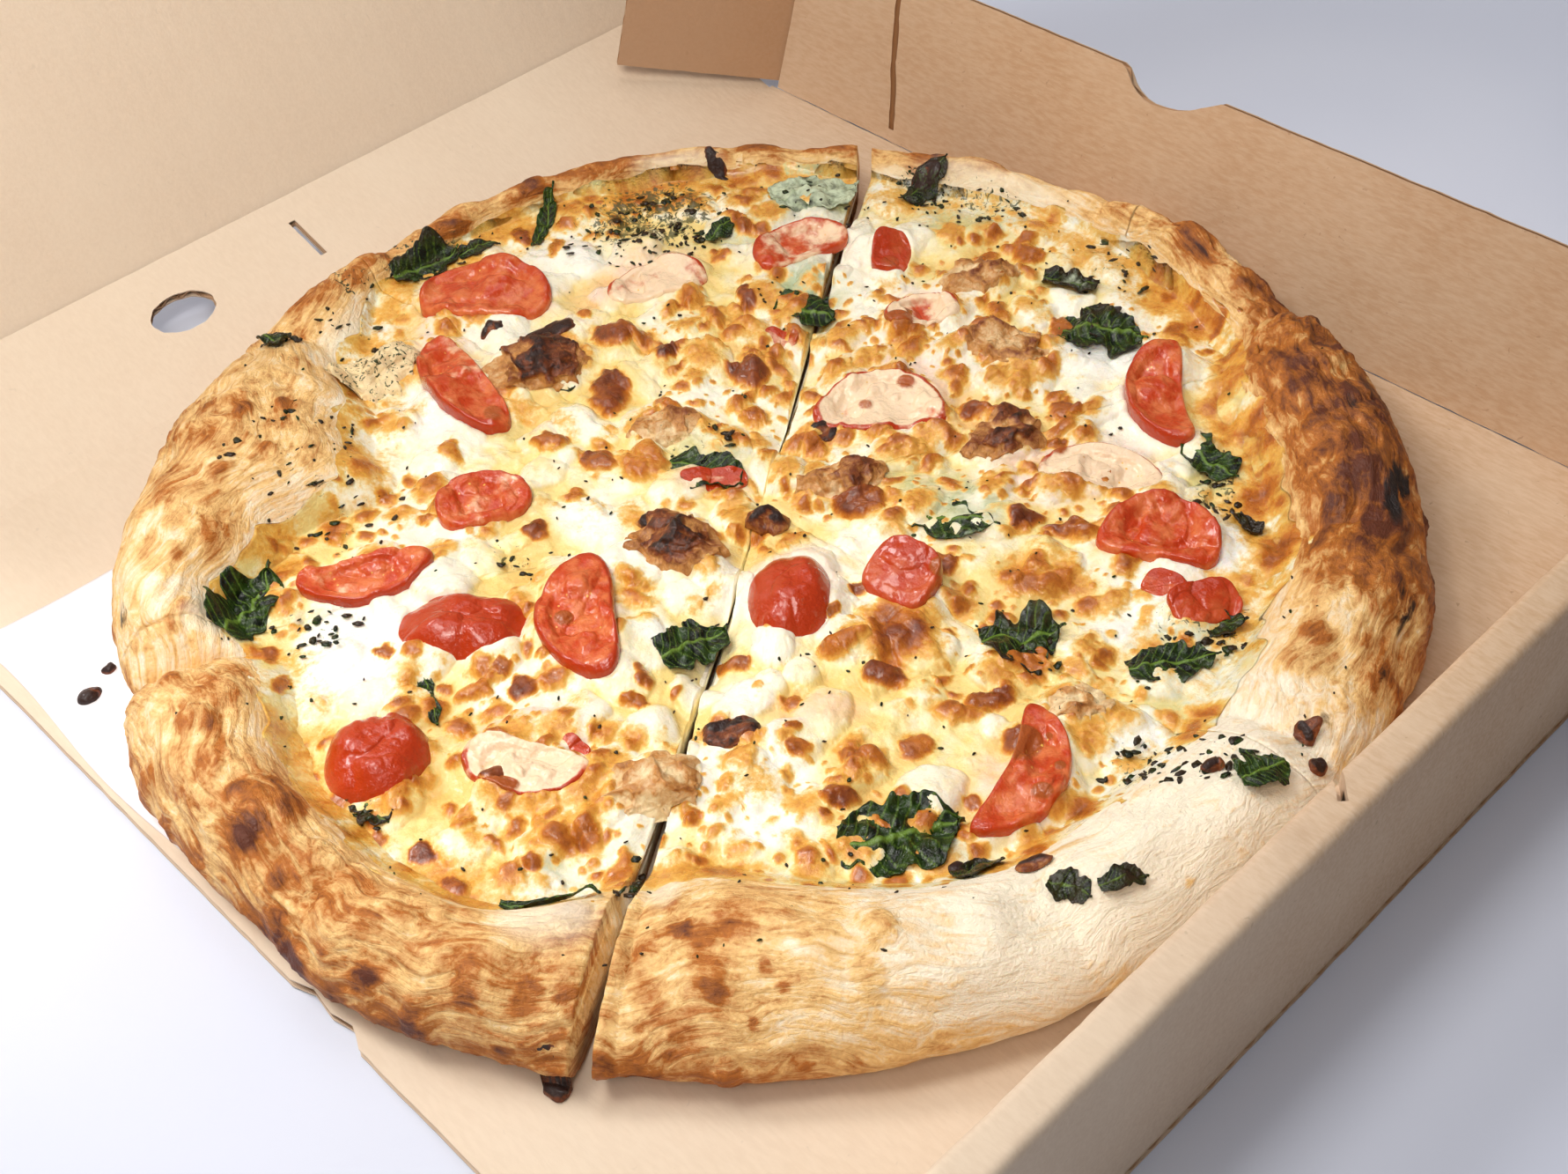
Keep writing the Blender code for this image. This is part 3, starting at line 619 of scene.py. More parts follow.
BROWN_PATCHES = [Mark(*spot) for spot in (
    (1025, 715, 85, 0.9, 0.95), (650, 955, 66, 1.0, 0.38), (1181, 655, 100, 0.75, 0.6), (1094, 680, 50, 0.8),
    (1159, 385, 70, 0.8, 0.3, 25), (745, 485, 70, 0.5, 0.5), (935, 500, 60, 0.8, 0.7), (640, 400, 60, 0.7, 0.8),
    (715, 590, 40, 0.6, 0.8), (1010, 830, 50, 0.4, 0.5), (770, 600, 50, 0.4), (870, 600, 40, 0.9, 0.9),
    (545, 870, 60, 0.35, 0.3), (610, 475, 100, 0.45, 0.35, 20), (1310, 745, 60, 0.7, 0.9), (1250, 780, 50, 0.5, 0.7),
)]
WHITE_PATCHES = [Mark(*spot) for spot in (
    (1390, 620, 110, 1.0, 0.7), (415, 400, 90, 1.0, 0.9, 45), (1260, 400, 120, 0.8, 0.4), (1190, 360, 60, 0.6, 0.5),
    (400, 740, 150, 0.9, 0.5, -15), (250, 700, 90, 0.8, 0.4), (490, 470, 70, 0.8, 0.8), (1010, 210, 70, 0.6, 0.6),
    (1130, 215, 160, 0.8, 0.4, 10), (770, 190, 90, 0.7, 0.6), (640, 290, 110, 0.6, 0.4), (740, 720, 50, 0.6),
    (840, 790, 40, 0.5), (620, 1040, 110, 0.9, 0.8), (860, 880, 150, 0.5, 0.5), (1300, 840, 80, 0.9, 0.7),
    (1290, 700, 80, 0.6, 0.8), (700, 690, 40, 0.4), (660, 590, 60, 0.5, 0.7), (850, 540, 50, 0.5, 0.5),
    (750, 1000, 50, 0.8, 1.2), (870, 945, 120, 0.7, 0.3), (560, 790, 60, 0.5, 0.5),
)]
HERB_ZONES = [Mark(*spot) for spot in (
    (740, 245, 160, 1.0, 0.5, -8), (400, 380, 70, 0.5, 0.9, 45), (400, 320, 60, 0.8, 0.6),
    (360, 560, 200, 0.35, 0.7, 60), (350, 700, 110, 0.45, 0.7), (480, 290, 110, 1.0, 0.4, -25),
    (1110, 225, 150, 0.7, 0.3, 10), (1050, 205, 70, 0.9, 0.6), (800, 500, 110, 0.45, 0.5), (580, 630, 50, 0.6),
    (1290, 870, 80, 0.6, 0.9), (420, 900, 60, 0.6, 1.2), (720, 1010, 60, 0.5, 1.4), (1270, 300, 100, 0.5, 0.6),
    (1380, 560, 60, 0.7, 1.3), (1370, 710, 130, 0.7, 0.4), (700, 270, 140, 0.5, 0.4), (1350, 880, 150, 0.5, 0.5, -35),
    (1180, 730, 60, 0.7), (330, 400, 60, 0.5, 0.8), (920, 200, 110, 0.3, 0.7),
)]
GREEN_FILMS = [Mark(*spot) for spot in (
    (930, 205, 100, 1.0, 0.7), (860, 260, 90, 0.5, 0.35, -20), (915, 325, 80, 0.9, 0.6),
    (1085, 570, 130, 0.8, 0.4, 20), (660, 1000, 150, 0.6, 0.3, 5), (1100, 250, 120, 0.5, 0.4),
    (560, 480, 90, 0.3, 0.4), (810, 510, 120, 0.4, 0.4), (1370, 720, 110, 0.6, 0.5), (930, 330, 60, 0.8),
    (1380, 540, 60, 0.6), (1330, 800, 80, 0.35, 0.8), (700, 970, 60, 0.3, 1.0), (500, 560, 60, 0.2),
)]
PINK_FILMS = [Mark(*spot) for spot in (
    (1040, 440, 150, 0.6, 0.6, 30), (1210, 535, 170, 0.7, 0.4, -5), (720, 320, 140, 0.6, 0.3, -20),
    (590, 830, 160, 0.7, 0.35), (930, 805, 110, 0.6, 0.3), (1150, 900, 110, 0.6, 0.8), (810, 550, 90, 0.6, 0.3),
    (500, 385, 80, 0.4, 1.0, 40), (1340, 610, 60, 0.4), (870, 400, 80, 0.3, 0.4), (690, 690, 60, 0.3),
    (470, 620, 90, 0.4, 0.3), (900, 660, 90, 0.5, 0.9), (1050, 340, 80, 0.3, 0.4),
)]
CRUST_BROWNS = [Mark(*spot) for spot in (
    (531, 1116, 30, 1.0, 2.0), (598, 1129, 34, 1.0, 1.6, 30), (613, 1174, 62, 0.9, 0.5),
    (650, 1130, 34, 1.0, 1.7, -30), (576, 1192, 24, 1.0), (413, 1107, 38, 0.9, 1.0), (372, 1072, 30, 0.8),
    (419, 1044, 28, 0.8), (332, 1089, 40, 0.9, 1.3), (310, 1059, 26, 0.8, 2.0), (809, 1122, 38, 0.8, 0.8, 40),
    (835, 1048, 60, 0.7, 0.6, 30), (772, 1059, 28, 0.8), (742, 1137, 42, 0.8, 1.2), (728, 1159, 32, 0.9),
    (680, 1207, 36, 0.8, 0.6), (870, 1095, 15, 1.0, 1.2), (888, 1120, 14, 1.0, 1.2), (857, 1162, 13, 1.0, 1.2),
    (839, 963, 40, 0.5, 0.4), (327, 895, 60, 1.0, 1.3), (279, 943, 44, 1.0, 1.1), (300, 925, 90, 0.6, 1.0),
    (257, 777, 80, 0.7, 0.6), (240, 850, 30, 0.6, 2.6, 10), (206, 888, 20, 0.7, 3.2, -8), (158, 739, 22, 0.7),
    (880, 1015, 110, 0.55, 0.6), (930, 1040, 60, 0.6, 0.8), (240, 480, 110, 0.5, 0.5, -30), (330, 470, 60, 0.5, 0.5),
    (370, 500, 70, 0.4, 0.8), (205, 560, 60, 0.5, 1.2), (250, 600, 60, 0.6, 1.4), (300, 330, 60, 0.6, 0.5),
    (345, 335, 100, 0.5, 0.4, -20), (1353, 997, 15, 1.0, 1.2), (1440, 440, 120, 0.9, 0.6),
    (1480, 350, 120, 0.7, 0.5, 30), (1520, 520, 110, 0.7, 1.4, 20), (1570, 620, 60, 0.8, 3.0),
    (1500, 640, 60, 0.5, 1.2), (1560, 760, 60, 0.8, 1.6), (1380, 250, 130, 0.6, 0.5, 30), (1480, 740, 80, 0.5, 0.8),
    (1235, 935, 90, 0.6, 0.4, -30), (1290, 890, 80, 0.5, 0.5), (1180, 965, 120, 0.7, 0.35, -10),
    (860, 160, 80, 0.8, 0.3), (930, 160, 90, 0.9, 0.3, 10), (700, 190, 80, 0.6, 0.4, -10), (610, 225, 60, 0.8, 0.6),
    (510, 262, 50, 0.8, 0.5), (780, 155, 40, 0.8, 0.5), (660, 195, 60, 0.6, 0.5), (1130, 175, 120, 0.5, 0.3, 5),
    (1060, 190, 80, 0.6, 0.5), (600, 260, 40, 0.8, 0.8), (395, 300, 80, 0.7, 0.6), (1350, 275, 60, 0.7, 0.8),
    (175, 480, 40, 0.5, 1.6, 30),
)]
CRUST_CHARS = [Mark(*spot) for spot in (
    (1420, 425, 90, 0.9, 0.5), (1585, 560, 34, 1.0, 3.0), (1590, 690, 26, 0.9, 3.0), (1530, 330, 50, 0.8, 1.2),
    (1480, 480, 60, 0.5, 0.8), (1540, 470, 50, 0.8, 1.5), (1575, 770, 30, 0.8, 1.4), (1500, 560, 30, 0.5, 1.4),
    (1510, 815, 50, 0.9, 0.8), (1480, 830, 30, 0.6), (1360, 285, 50, 0.5, 0.8), (1470, 400, 120, 0.5, 0.4, 20),
    (140, 700, 20, 0.8, 2.5), (145, 640, 14, 0.7, 1.6), (850, 150, 40, 0.7, 0.4), (450, 300, 60, 0.7, 0.6),
)]


# Finishes


@dataclass(frozen=True)
class Finish:
    """What every finish shares: a name, a typical roughness and IOR, and how deep its light goes."""

    name: str
    roughness: float
    ior: float = 1.45
    depth: float = 0.0
    coat: float = 0.0

    def start(self) -> tuple[bpy.types.Material, bpy.types.NodeTree, bpy.types.Node]:
        """Return a new material, its tree and its shader with the plain values set."""
        material = bpy.data.materials.new(self.name)
        material.use_nodes = True
        tree = material.node_tree
        shader = tree.nodes["Principled BSDF"]
        shader.inputs["Roughness"].default_value = self.roughness
        shader.inputs["IOR"].default_value = self.ior
        shader.inputs["Coat Weight"].default_value = self.coat
        shader.inputs["Coat Roughness"].default_value = 0.12
        if self.depth:
            shader.inputs["Subsurface Weight"].default_value = self.depth
            shader.inputs["Subsurface Radius"].default_value = (1.0, 0.6, 0.35)
            shader.inputs["Subsurface Scale"].default_value = 1.6 * MM
        return material, tree, shader


def place_node(tree: bpy.types.NodeTree) -> bpy.types.NodeSocket:
    """Return the place on the object in metres, which patterns are laid by."""
    return add_node(tree, "ShaderNodeTexCoord").outputs["Object"]


def painted(tree: bpy.types.NodeTree, name: str) -> bpy.types.NodeSocket:
    """Return the number that the mesh carries under a name."""
    return add_node(tree, "ShaderNodeAttribute", attribute_name=name).outputs["Fac"]


def pattern(tree: bpy.types.NodeTree, where: bpy.types.NodeSocket, size: float, detail: float = 3.0,
            distortion: float = 0.0) -> bpy.types.NodeSocket:
    """Return cloudy noise whose lumps are a given number of millimetres wide."""
    node = add_node(tree, "ShaderNodeTexNoise", {"Vector": where, "Scale": 1.0 / (size * MM), "Detail": detail,
                                                 "Roughness": 0.6, "Distortion": distortion})
    return node.outputs["Fac"]


def span(tree: bpy.types.NodeTree, value: bpy.types.NodeSocket, low: float, high: float, to_low: float = 0.0,
         to_high: float = 1.0) -> bpy.types.NodeSocket:
    """Return a value stretched from one range to another and held inside it."""
    node = add_node(tree, "ShaderNodeMapRange", {"Value": value, "From Min": low, "From Max": high,
                                                 "To Min": to_low, "To Max": to_high}, interpolation_type="SMOOTHSTEP")
    return node.outputs["Result"]


def sum_up(tree: bpy.types.NodeTree, kind: str, first: bpy.types.NodeSocket | float,
           second: bpy.types.NodeSocket | float) -> bpy.types.NodeSocket:
    """Return the result of one sum on two values."""
    return add_node(tree, "ShaderNodeMath", {0: first, 1: second}, operation=kind, use_clamp=False).outputs[0]


def roughen(tree: bpy.types.NodeTree, value: bpy.types.NodeSocket, cloud: bpy.types.NodeSocket,
            amount: float = 1.0) -> bpy.types.NodeSocket:
    """Return a value with noise laid over it, which lowers it where the noise is under one half."""
    return sum_up(tree, "ADD", value, sum_up(tree, "MULTIPLY", sum_up(tree, "SUBTRACT", cloud, 0.5), amount))


def blend_colour(tree: bpy.types.NodeTree, share: bpy.types.NodeSocket, first: bpy.types.NodeSocket | str,
                 second: bpy.types.NodeSocket | str) -> bpy.types.NodeSocket:
    """Return a colour between two, each an output or a hex code."""
    first = linear(first) if isinstance(first, str) else first
    second = linear(second) if isinstance(second, str) else second
    node = add_node(tree, "ShaderNodeMix", {0: share, 6: first, 7: second}, data_type="RGBA")
    return node.outputs[2]


def ramp(tree: bpy.types.NodeTree, value: bpy.types.NodeSocket, *stops: tuple[float, str]) -> bpy.types.NodeSocket:
    """Return colours along a value, each stop a place from 0 to 1 and a hex code."""
    node = add_node(tree, "ShaderNodeValToRGB", {"Fac": value})
    band = node.color_ramp
    while len(band.elements) < len(stops):
        band.elements.new(0.5)
    for element, (at, code) in zip(band.elements, stops):
        element.position = at
        element.color = linear(code)
    return node.outputs["Color"]


def herb_specks(tree: bpy.types.NodeTree, where: bpy.types.NodeSocket, size: float, level: float, thick: float,
                fade: float, most: float = 1.0) -> bpy.types.NodeSocket:
    """Return where specks of dried herb lie, which is on more of the surface where the mesh carries more herb.

    Args:
        tree: The material's tree.
        where: The place on the object.
        size: The width of a speck in millimetres.
        level: How high the noise has to be for a speck where there is no herb.
        thick: How much that level falls where the herb is thickest.
        fade: Over how much of the noise a speck's edge fades.
        most: The share of herb in the middle of a speck.

    Returns:
        The share of herb, from 0 to most.
    """
    speck = pattern(tree, where, size, 2.5, 1.5)
    bar = sum_up(tree, "SUBTRACT", level, sum_up(tree, "MULTIPLY", painted(tree, "herb"), thick))
    return span(tree, sum_up(tree, "SUBTRACT", speck, bar), 0.0, fade, 0.0, most)


def relief(tree: bpy.types.NodeTree, shader: bpy.types.Node, height: bpy.types.NodeSocket, depth: float) -> None:
    """Give the surface fine relief, its depth in millimetres."""
    node = add_node(tree, "ShaderNodeBump", {"Height": height, "Distance": depth * MM, "Strength": 1.0})
    tree.links.new(node.outputs["Normal"], shader.inputs["Normal"])


@dataclass(frozen=True)
class CheeseFinish(Finish):
    """Melted mozzarella, baked: milky and wet, yellow where fat stands, golden in its hollows as pooled fat and painted
    shade, browned on every blister.

    The milky body lets light in, so that its shadows stay warm, and the film of fat on it gives small
    hard highlights.
    """

    milk: str = "#f9f1dc"
    curd: str = "#faf7f0"
    fat: str = "#f1d88c"
    gold: str = "#e2a748"
    toast: str = "#bd6d1e"
    crisp: str = "#874013"
    burn: str = "#4c1d0b"
    herb: str = "#3d4420"
    leaf: str = "#93ab84"
    pulp: str = "#f0a596"

    def make(self) -> bpy.types.Material:
        """Return the material."""
        material, tree, shader = self.start()
        where = place_node(tree)
        fine = pattern(tree, where, 1.6, 4.0)
        cloud = pattern(tree, where, 9.0, 3.0, 0.4)
        gold = roughen(tree, painted(tree, "gold"), cloud, 0.9)
        base = blend_colour(tree, span(tree, gold, 0.2, 0.85), self.milk, self.fat)
        base = blend_colour(tree, span(tree, gold, 0.65, 1.35, 0.0, 0.7), base, self.gold)
        base = blend_colour(tree, painted(tree, "white"), base, self.curd)
        green = sum_up(tree, "MULTIPLY", painted(tree, "green"), span(tree, cloud, 0.25, 0.6))
        base = blend_colour(tree, green, base, self.leaf)
        base = blend_colour(tree, painted(tree, "pink"), base, self.pulp)
        toast = roughen(tree, painted(tree, "toast"), fine, 0.42)
        tone = ramp(tree, toast, (0.08, self.fat), (0.30, self.gold), (0.50, self.toast), (0.74, self.crisp),
                    (0.98, self.burn))
        base = blend_colour(tree, span(tree, toast, 0.02, 0.26), base, tone)
        base = blend_colour(tree, herb_specks(tree, where, 2.6, 0.80, 0.35, 0.07, 0.85), base, self.herb)
        tree.links.new(base, shader.inputs["Base Color"])
        wet = span(tree, pattern(tree, where, 5.0), 0.35, 0.7, self.roughness - 0.08, self.roughness + 0.22)
        tree.links.new(wet, shader.inputs["Roughness"])
        relief(tree, shader, sum_up(tree, "ADD", fine, sum_up(tree, "MULTIPLY", pattern(tree, where, 0.7), 0.4)), 0.35)
        return material


@dataclass(frozen=True)
class CrustFinish(Finish):
    """Baked wheat dough: pale and floury inside a thin skin that runs from gold to dark brown.

    The skin is matt with a little fat on it, cracked into flakes along the way that it stretched.
    """

    pale: str = "#fbedd4"
    gold: str = "#efc480"
    brown: str = "#b4681f"
    dark: str = "#5e2a10"
    char: str = "#1f100a"
    herb: str = "#37391c"
    milk: str = "#f6ead0"

    def make(self) -> bpy.types.Material:
        """Return the material."""
        material, tree, shader = self.start()
        where = place_node(tree)
        way = add_node(tree, "ShaderNodeAttribute", attribute_name="way").outputs["Vector"]
        streak = add_node(tree, "ShaderNodeTexNoise", {"Vector": way, "Scale": 1.0, "Detail": 5.0, "Roughness": 0.65,
                                                       "Distortion": 0.8}).outputs["Fac"]
        fine = pattern(tree, where, 1.3, 4.0)
        cloud = pattern(tree, where, 12.0, 3.0, 0.5)
        bake = roughen(tree, painted(tree, "bake"), streak, 0.85)
        bake = roughen(tree, bake, cloud, 0.35)
        bake = roughen(tree, bake, fine, 0.3)
        base = ramp(tree, bake, (0.08, self.pale), (0.36, self.gold), (0.62, self.brown), (0.92, self.dark))
        base = blend_colour(tree, painted(tree, "white"), base, self.milk)
        char = roughen(tree, painted(tree, "char"), streak, 0.9)
        base = blend_colour(tree, span(tree, char, 0.45, 0.8), base, self.char)
        base = blend_colour(tree, herb_specks(tree, where, 2.6, 0.82, 0.30, 0.05), base, self.herb)
        tree.links.new(base, shader.inputs["Base Color"])
        wear = span(tree, cloud, 0.3, 0.7, self.roughness - 0.12, self.roughness + 0.15)
        tree.links.new(wear, shader.inputs["Roughness"])
        relief(tree, shader, sum_up(tree, "ADD", streak, sum_up(tree, "MULTIPLY", fine, 0.6)), 0.9)
        return material


@dataclass(frozen=True)
class TomatoFinish(Finish):
    """Cooked tomato: wet translucent flesh, redder at the skin, milky where cheese ran over it."""

    skin: str = "#b23408"
    flesh: str = "#c03c0c"
    wall: str = "#d87440"
    milk: str = "#f6dcb8"
    seed: str = "#e9b455"
    toast: str = "#a4501c"

    def make(self) -> bpy.types.Material:
        """Return the material."""
        material, tree, shader = self.start()
        where = place_node(tree)
        cloud = pattern(tree, where, 5.0, 3.0)
        fine = pattern(tree, where, 1.2, 3.0)
        base = blend_colour(tree, span(tree, cloud, 0.35, 0.7), self.flesh, self.wall)
        base = blend_colour(tree, painted(tree, "skin"), base, self.skin)
        film = roughen(tree, painted(tree, "film"), cloud, 0.8)
        base = blend_colour(tree, span(tree, film, 0.30, 0.62, 0.0, 0.9), base, self.milk)
        toast = roughen(tree, painted(tree, "toast"), fine, 0.4)
        base = blend_colour(tree, span(tree, toast, 0.3, 0.7), base, self.toast)
        seed = add_node(tree, "ShaderNodeTexVoronoi", {"Vector": where, "Scale": 1.0 / (2.6 * MM)}).outputs["Distance"]
        seed = sum_up(tree, "MULTIPLY", span(tree, seed, 0.16, 0.1), painted(tree, "gel"))
        base = blend_colour(tree, seed, base, self.seed)
        tree.links.new(base, shader.inputs["Base Color"])
        relief(tree, shader, sum_up(tree, "ADD", fine, cloud), 0.4)
        return material


@dataclass(frozen=True)
class LeafFinish(Finish):
    """Wilted spinach: dark wet green, paler on the veins, browned where it dried, milky under cheese."""

    deep: str = "#060b01"
    fresh: str = "#263c0a"
    vein: str = "#6c8a30"
    dry: str = "#2a1c0c"
    milk: str = "#c9d3b4"

    def make(self) -> bpy.types.Material:
        """Return the material."""
        material, tree, shader = self.start()
        where = place_node(tree)
        cloud = pattern(tree, where, 4.0, 4.0)
        base = blend_colour(tree, span(tree, cloud, 0.35, 0.65), self.deep, self.fresh)
        base = blend_colour(tree, painted(tree, "vein"), base, self.vein)
        base = blend_colour(tree, span(tree, roughen(tree, painted(tree, "dry"), cloud), 0.3, 0.7), base, self.dry)
        base = blend_colour(tree, span(tree, roughen(tree, painted(tree, "film"), cloud), 0.35, 0.8), base, self.milk)
        tree.links.new(base, shader.inputs["Base Color"])
        relief(tree, shader, sum_up(tree, "ADD", cloud, pattern(tree, where, 1.2)), 0.6)
        return material


@dataclass(frozen=True)
class ChickenFinish(Finish):
    """Roast chicken, torn: pale fibrous meat, tan outside, with dark dried tips."""

    meat: str = "#ecd3a4"
    tan: str = "#c58a4a"
    brown: str = "#7c3c17"
    char: str = "#2b130b"
    herb: str = "#3f4424"

    def make(self) -> bpy.types.Material:
        """Return the material."""
        material, tree, shader = self.start()
        where = place_node(tree)
        fine = pattern(tree, where, 1.4, 4.0, 0.6)
        cloud = pattern(tree, where, 5.0, 3.0)
        tone = roughen(tree, painted(tree, "bake"), fine, 0.6)
        tone = roughen(tree, tone, cloud, 0.7)
        base = ramp(tree, tone, (0.1, self.meat), (0.45, self.tan), (0.75, self.brown), (1.0, self.char))
        base = blend_colour(tree, herb_specks(tree, where, 2.4, 0.80, 0.30, 0.05), base, self.herb)
        tree.links.new(base, shader.inputs["Base Color"])
        relief(tree, shader, fine, 0.6)
        return material


@dataclass(frozen=True)
class BoardFinish(Finish):
    """Brown kraft liner: matt, long pulp fibres, faint stripes where the flutes show through.

    The flutes of the board run along Y on every panel, 6.4 mm apart. The board is painted paler towards the key lamp,
    at the left and the rear, as painted light.
    """

    kraft: str = "#d0b192"
    fibre: str = "#c39f7c"
    # A paler kraft for the painted pool of light on the key lamp's side.
    painted_light_pale: str = "#e4d5c1"
    medium: str = "#9c6a3c"
    speck: str = "#9c7a59"
    bleached: str = "#dcc4a8"
    soil: str = "#6b4426"
    flute: float = FLUTE

    def make(self) -> bpy.types.Material:
        """Return the material."""
        material, tree, shader = self.start()
        where = place_node(tree)
        long = add_node(tree, "ShaderNodeMapping", {"Vector": where, "Scale": (1.0, 0.25, 1.0)}).outputs["Vector"]
        fibre = pattern(tree, long, 1.1, 5.0)
        cloud = pattern(tree, where, 38.0, 3.0)
        base = blend_colour(tree, span(tree, fibre, 0.3, 0.7), self.fibre, self.kraft)
        base = blend_colour(tree, sum_up(tree, "MULTIPLY", span(tree, cloud, 0.35, 0.75), 0.35), base, self.bleached)
        speck = span(tree, pattern(tree, where, 2.3, 1.0, 0.6), 0.74, 0.8)
        base = blend_colour(tree, sum_up(tree, "MULTIPLY", speck, 0.5), base, self.speck)
        # Painted light: the board turns paler towards the left and the rear, where the key lamp hangs.
        slant = add_node(tree, "ShaderNodeVectorMath", {0: where, 1: (1.0, -0.6, 0.0)}, operation="DOT_PRODUCT")
        base = blend_colour(tree, span(tree, slant.outputs["Value"], -0.06, 0.16, 0.62, 0.0), base, self.painted_light_pale)
        # The medium's brown is the fluted paper's own colour, and through a panel's tone it is also painted shade.
        base = blend_colour(tree, painted(tree, "inner"), base, self.medium)
        base = blend_colour(tree, painted(tree, "soil"), base, self.soil)
        tree.links.new(base, shader.inputs["Base Color"])
        across = add_node(tree, "ShaderNodeSeparateXYZ", {"Vector": where}).outputs["X"]
        wave = sum_up(tree, "SINE", sum_up(tree, "MULTIPLY", across, math.tau / (self.flute * MM)), 0.0)
        height = sum_up(tree, "ADD", sum_up(tree, "MULTIPLY", wave, 0.22), fibre)
        relief(tree, shader, height, 0.10)
        return material


@dataclass(frozen=True)
class PaperFinish(Finish):
    """Greaseproof paper: smooth white sheet with a faint cold tint and soft creases."""

    white: str = "#f3eef2"
    shade: str = "#e2d8d9"

    def make(self) -> bpy.types.Material:
        """Return the material."""
        material, tree, shader = self.start()
        where = place_node(tree)
        cloud = pattern(tree, where, 26.0, 3.0)
        base = blend_colour(tree, span(tree, cloud, 0.4, 0.8), self.white, self.shade)
        tree.links.new(base, shader.inputs["Base Color"])
        relief(tree, shader, cloud, 0.8)
        return material


@dataclass(frozen=True)
class TableFinish(Finish):
    """A smooth pale laminate table top."""

    tone: str = "#cfd2e0"
    pale: str = "#d8dae6"

    def make(self) -> bpy.types.Material:
        """Return the material."""
        material, tree, shader = self.start()
        cloud = pattern(tree, place_node(tree), 180.0, 2.0)
        base = blend_colour(tree, span(tree, cloud, 0.3, 0.8), self.tone, self.pale)
        tree.links.new(base, shader.inputs["Base Color"])
        return material


# The pizza


CRUST_TONES = ((0, 0.48), (18, 0.42), (37, 0.50), (60, 0.58), (82, 0.56), (100, 0.44), (120, 0.44), (138, 0.44),
               (152, 0.32), (165, 0.44), (182, 0.56), (197, 0.58), (212, 0.50), (222, 0.52), (233, 0.34), (244, 0.06),
               (262, 0.0), (275, 0.08), (287, 0.38), (300, 0.72), (318, 0.80), (334, 0.74), (348, 0.58))
CRUST_FLAKES = ((0, 0.9), (40, 0.5), (90, 0.5), (112, 0.9), (130, 1.0), (155, 0.8), (185, 1.0), (218, 0.9), (234, 0.4),
                (246, 0.12), (272, 0.18), (288, 0.8), (305, 1.3), (330, 1.5), (347, 1.2))


def around(table: tuple[tuple[float, float], ...], angle: np.ndarray) -> np.ndarray:
    """Return a value between the entries of a table that goes round the pizza in degrees."""
    angles = [pair[0] for pair in table] + [table[0][0] + 360.0]
    values = [pair[1] for pair in table] + [table[0][1]]
    return np.interp((angle - angles[0]) % 360.0 + angles[0], angles, values)


def scattered(x: np.ndarray, y: np.ndarray, cell: float, seed: int, low: float, high: float,
              share: float) -> tuple[np.ndarray, np.ndarray]:
    """Spread round spots over the plan, one at most in each square cell.

    Args:
        x: Places along X.
        y: Places along Y.
        cell: The side of a cell in millimetres.
        seed: Which pattern.
        low: The smallest radius.
        high: The largest radius.
        share: How many of the cells hold a spot, from 0 to 1.

    Returns:
        How near the nearest spot's middle is: 1 there, 0 at its edge and down to -1 outside, and that spot's radius.
    """
    column = np.floor(x / cell).astype(np.int64)
    row = np.floor(y / cell).astype(np.int64)
    inside = np.full(x.shape, -1.0)
    radius = np.ones(x.shape)
    for dx in (-1, 0, 1):
        for dy in (-1, 0, 1):
            key = np.stack((column + dx, row + dy, np.zeros_like(column)), axis=-1)
            middle_x = (column + dx + 0.5 + 0.42 * lattice(key, seed)) * cell
            middle_y = (row + dy + 0.5 + 0.42 * lattice(key, seed + 1)) * cell
            size = low + (high - low) * (0.5 + 0.5 * lattice(key, seed + 2)) ** 1.5
            stretch = 1.0 + 0.28 * lattice(key, seed + 4)
            reach = np.hypot((x - middle_x) * stretch, (y - middle_y) / stretch) / size
            value = np.where(lattice(key, seed + 3) < 2.0 * share - 1.0, 1.0 - reach, -1.0)
            radius = np.where(value > inside, size, radius)
            inside = np.maximum(inside, value)
    return inside, radius


def cap(inside: np.ndarray) -> np.ndarray:
    """Return the height share of a round dome over how far inside its edge a place is."""
    return np.sqrt(np.clip(1.0 - (1.0 - inside) ** 2, 0.0, 1.0)) * (inside > 0.0)


def wander_cut(x: np.ndarray, y: np.ndarray, bridge: float) -> tuple[np.ndarray, np.ndarray]:
    """Shift places near the cuts sideways, so that a cut wanders and almost closes where cheese ran over it.

    Args:
        x: Places along X.
        y: Places along Y.
        bridge: How much of the open cut's gap is closed towards the middle of the pizza, from 0 to 1.

    Returns:
        The shifted places.
    """
    shifted_x, shifted_y = x.copy(), y.copy()
    for index in range(FORM.slices):
        heading = math.radians(FORM.cut_start + index * 360.0 / FORM.slices)
        along = x * math.cos(heading) + y * math.sin(heading)
        away = y * math.cos(heading) - x * math.sin(heading)
        near = np.exp(-(away / 9.0) ** 2) * smooth(4.0, 30.0, along)
        line = np.stack((along, np.full(x.shape, index * 31.0), np.zeros(x.shape)), axis=-1)
        move = near * (1.3 * lumps(line, 38.0, 3, 2) + 0.5 * lumps(line, 7.0, 8, 2))
        opened = index % 3 == 0
        gap = FORM.cut_gap / 2.0
        if opened:
            gap = FORM.open_cut_gap / 2.0 + np.abs(along) * math.radians(FORM.open_cut_spread)
        shut = bridge
        if opened:
            shut = bridge * (1.0 - smooth(80.0, 150.0, along)) * smooth(-0.5, 0.1, lumps(line, 16.0, 13, 2) + 0.2)
        move -= np.sign(away) * np.exp(-np.abs(away) / 3.0) * gap * 0.93 * shut * (along > -5.0)
        shifted_x -= move * math.sin(heading)
        shifted_y += move * math.cos(heading)
    return shifted_x, shifted_y


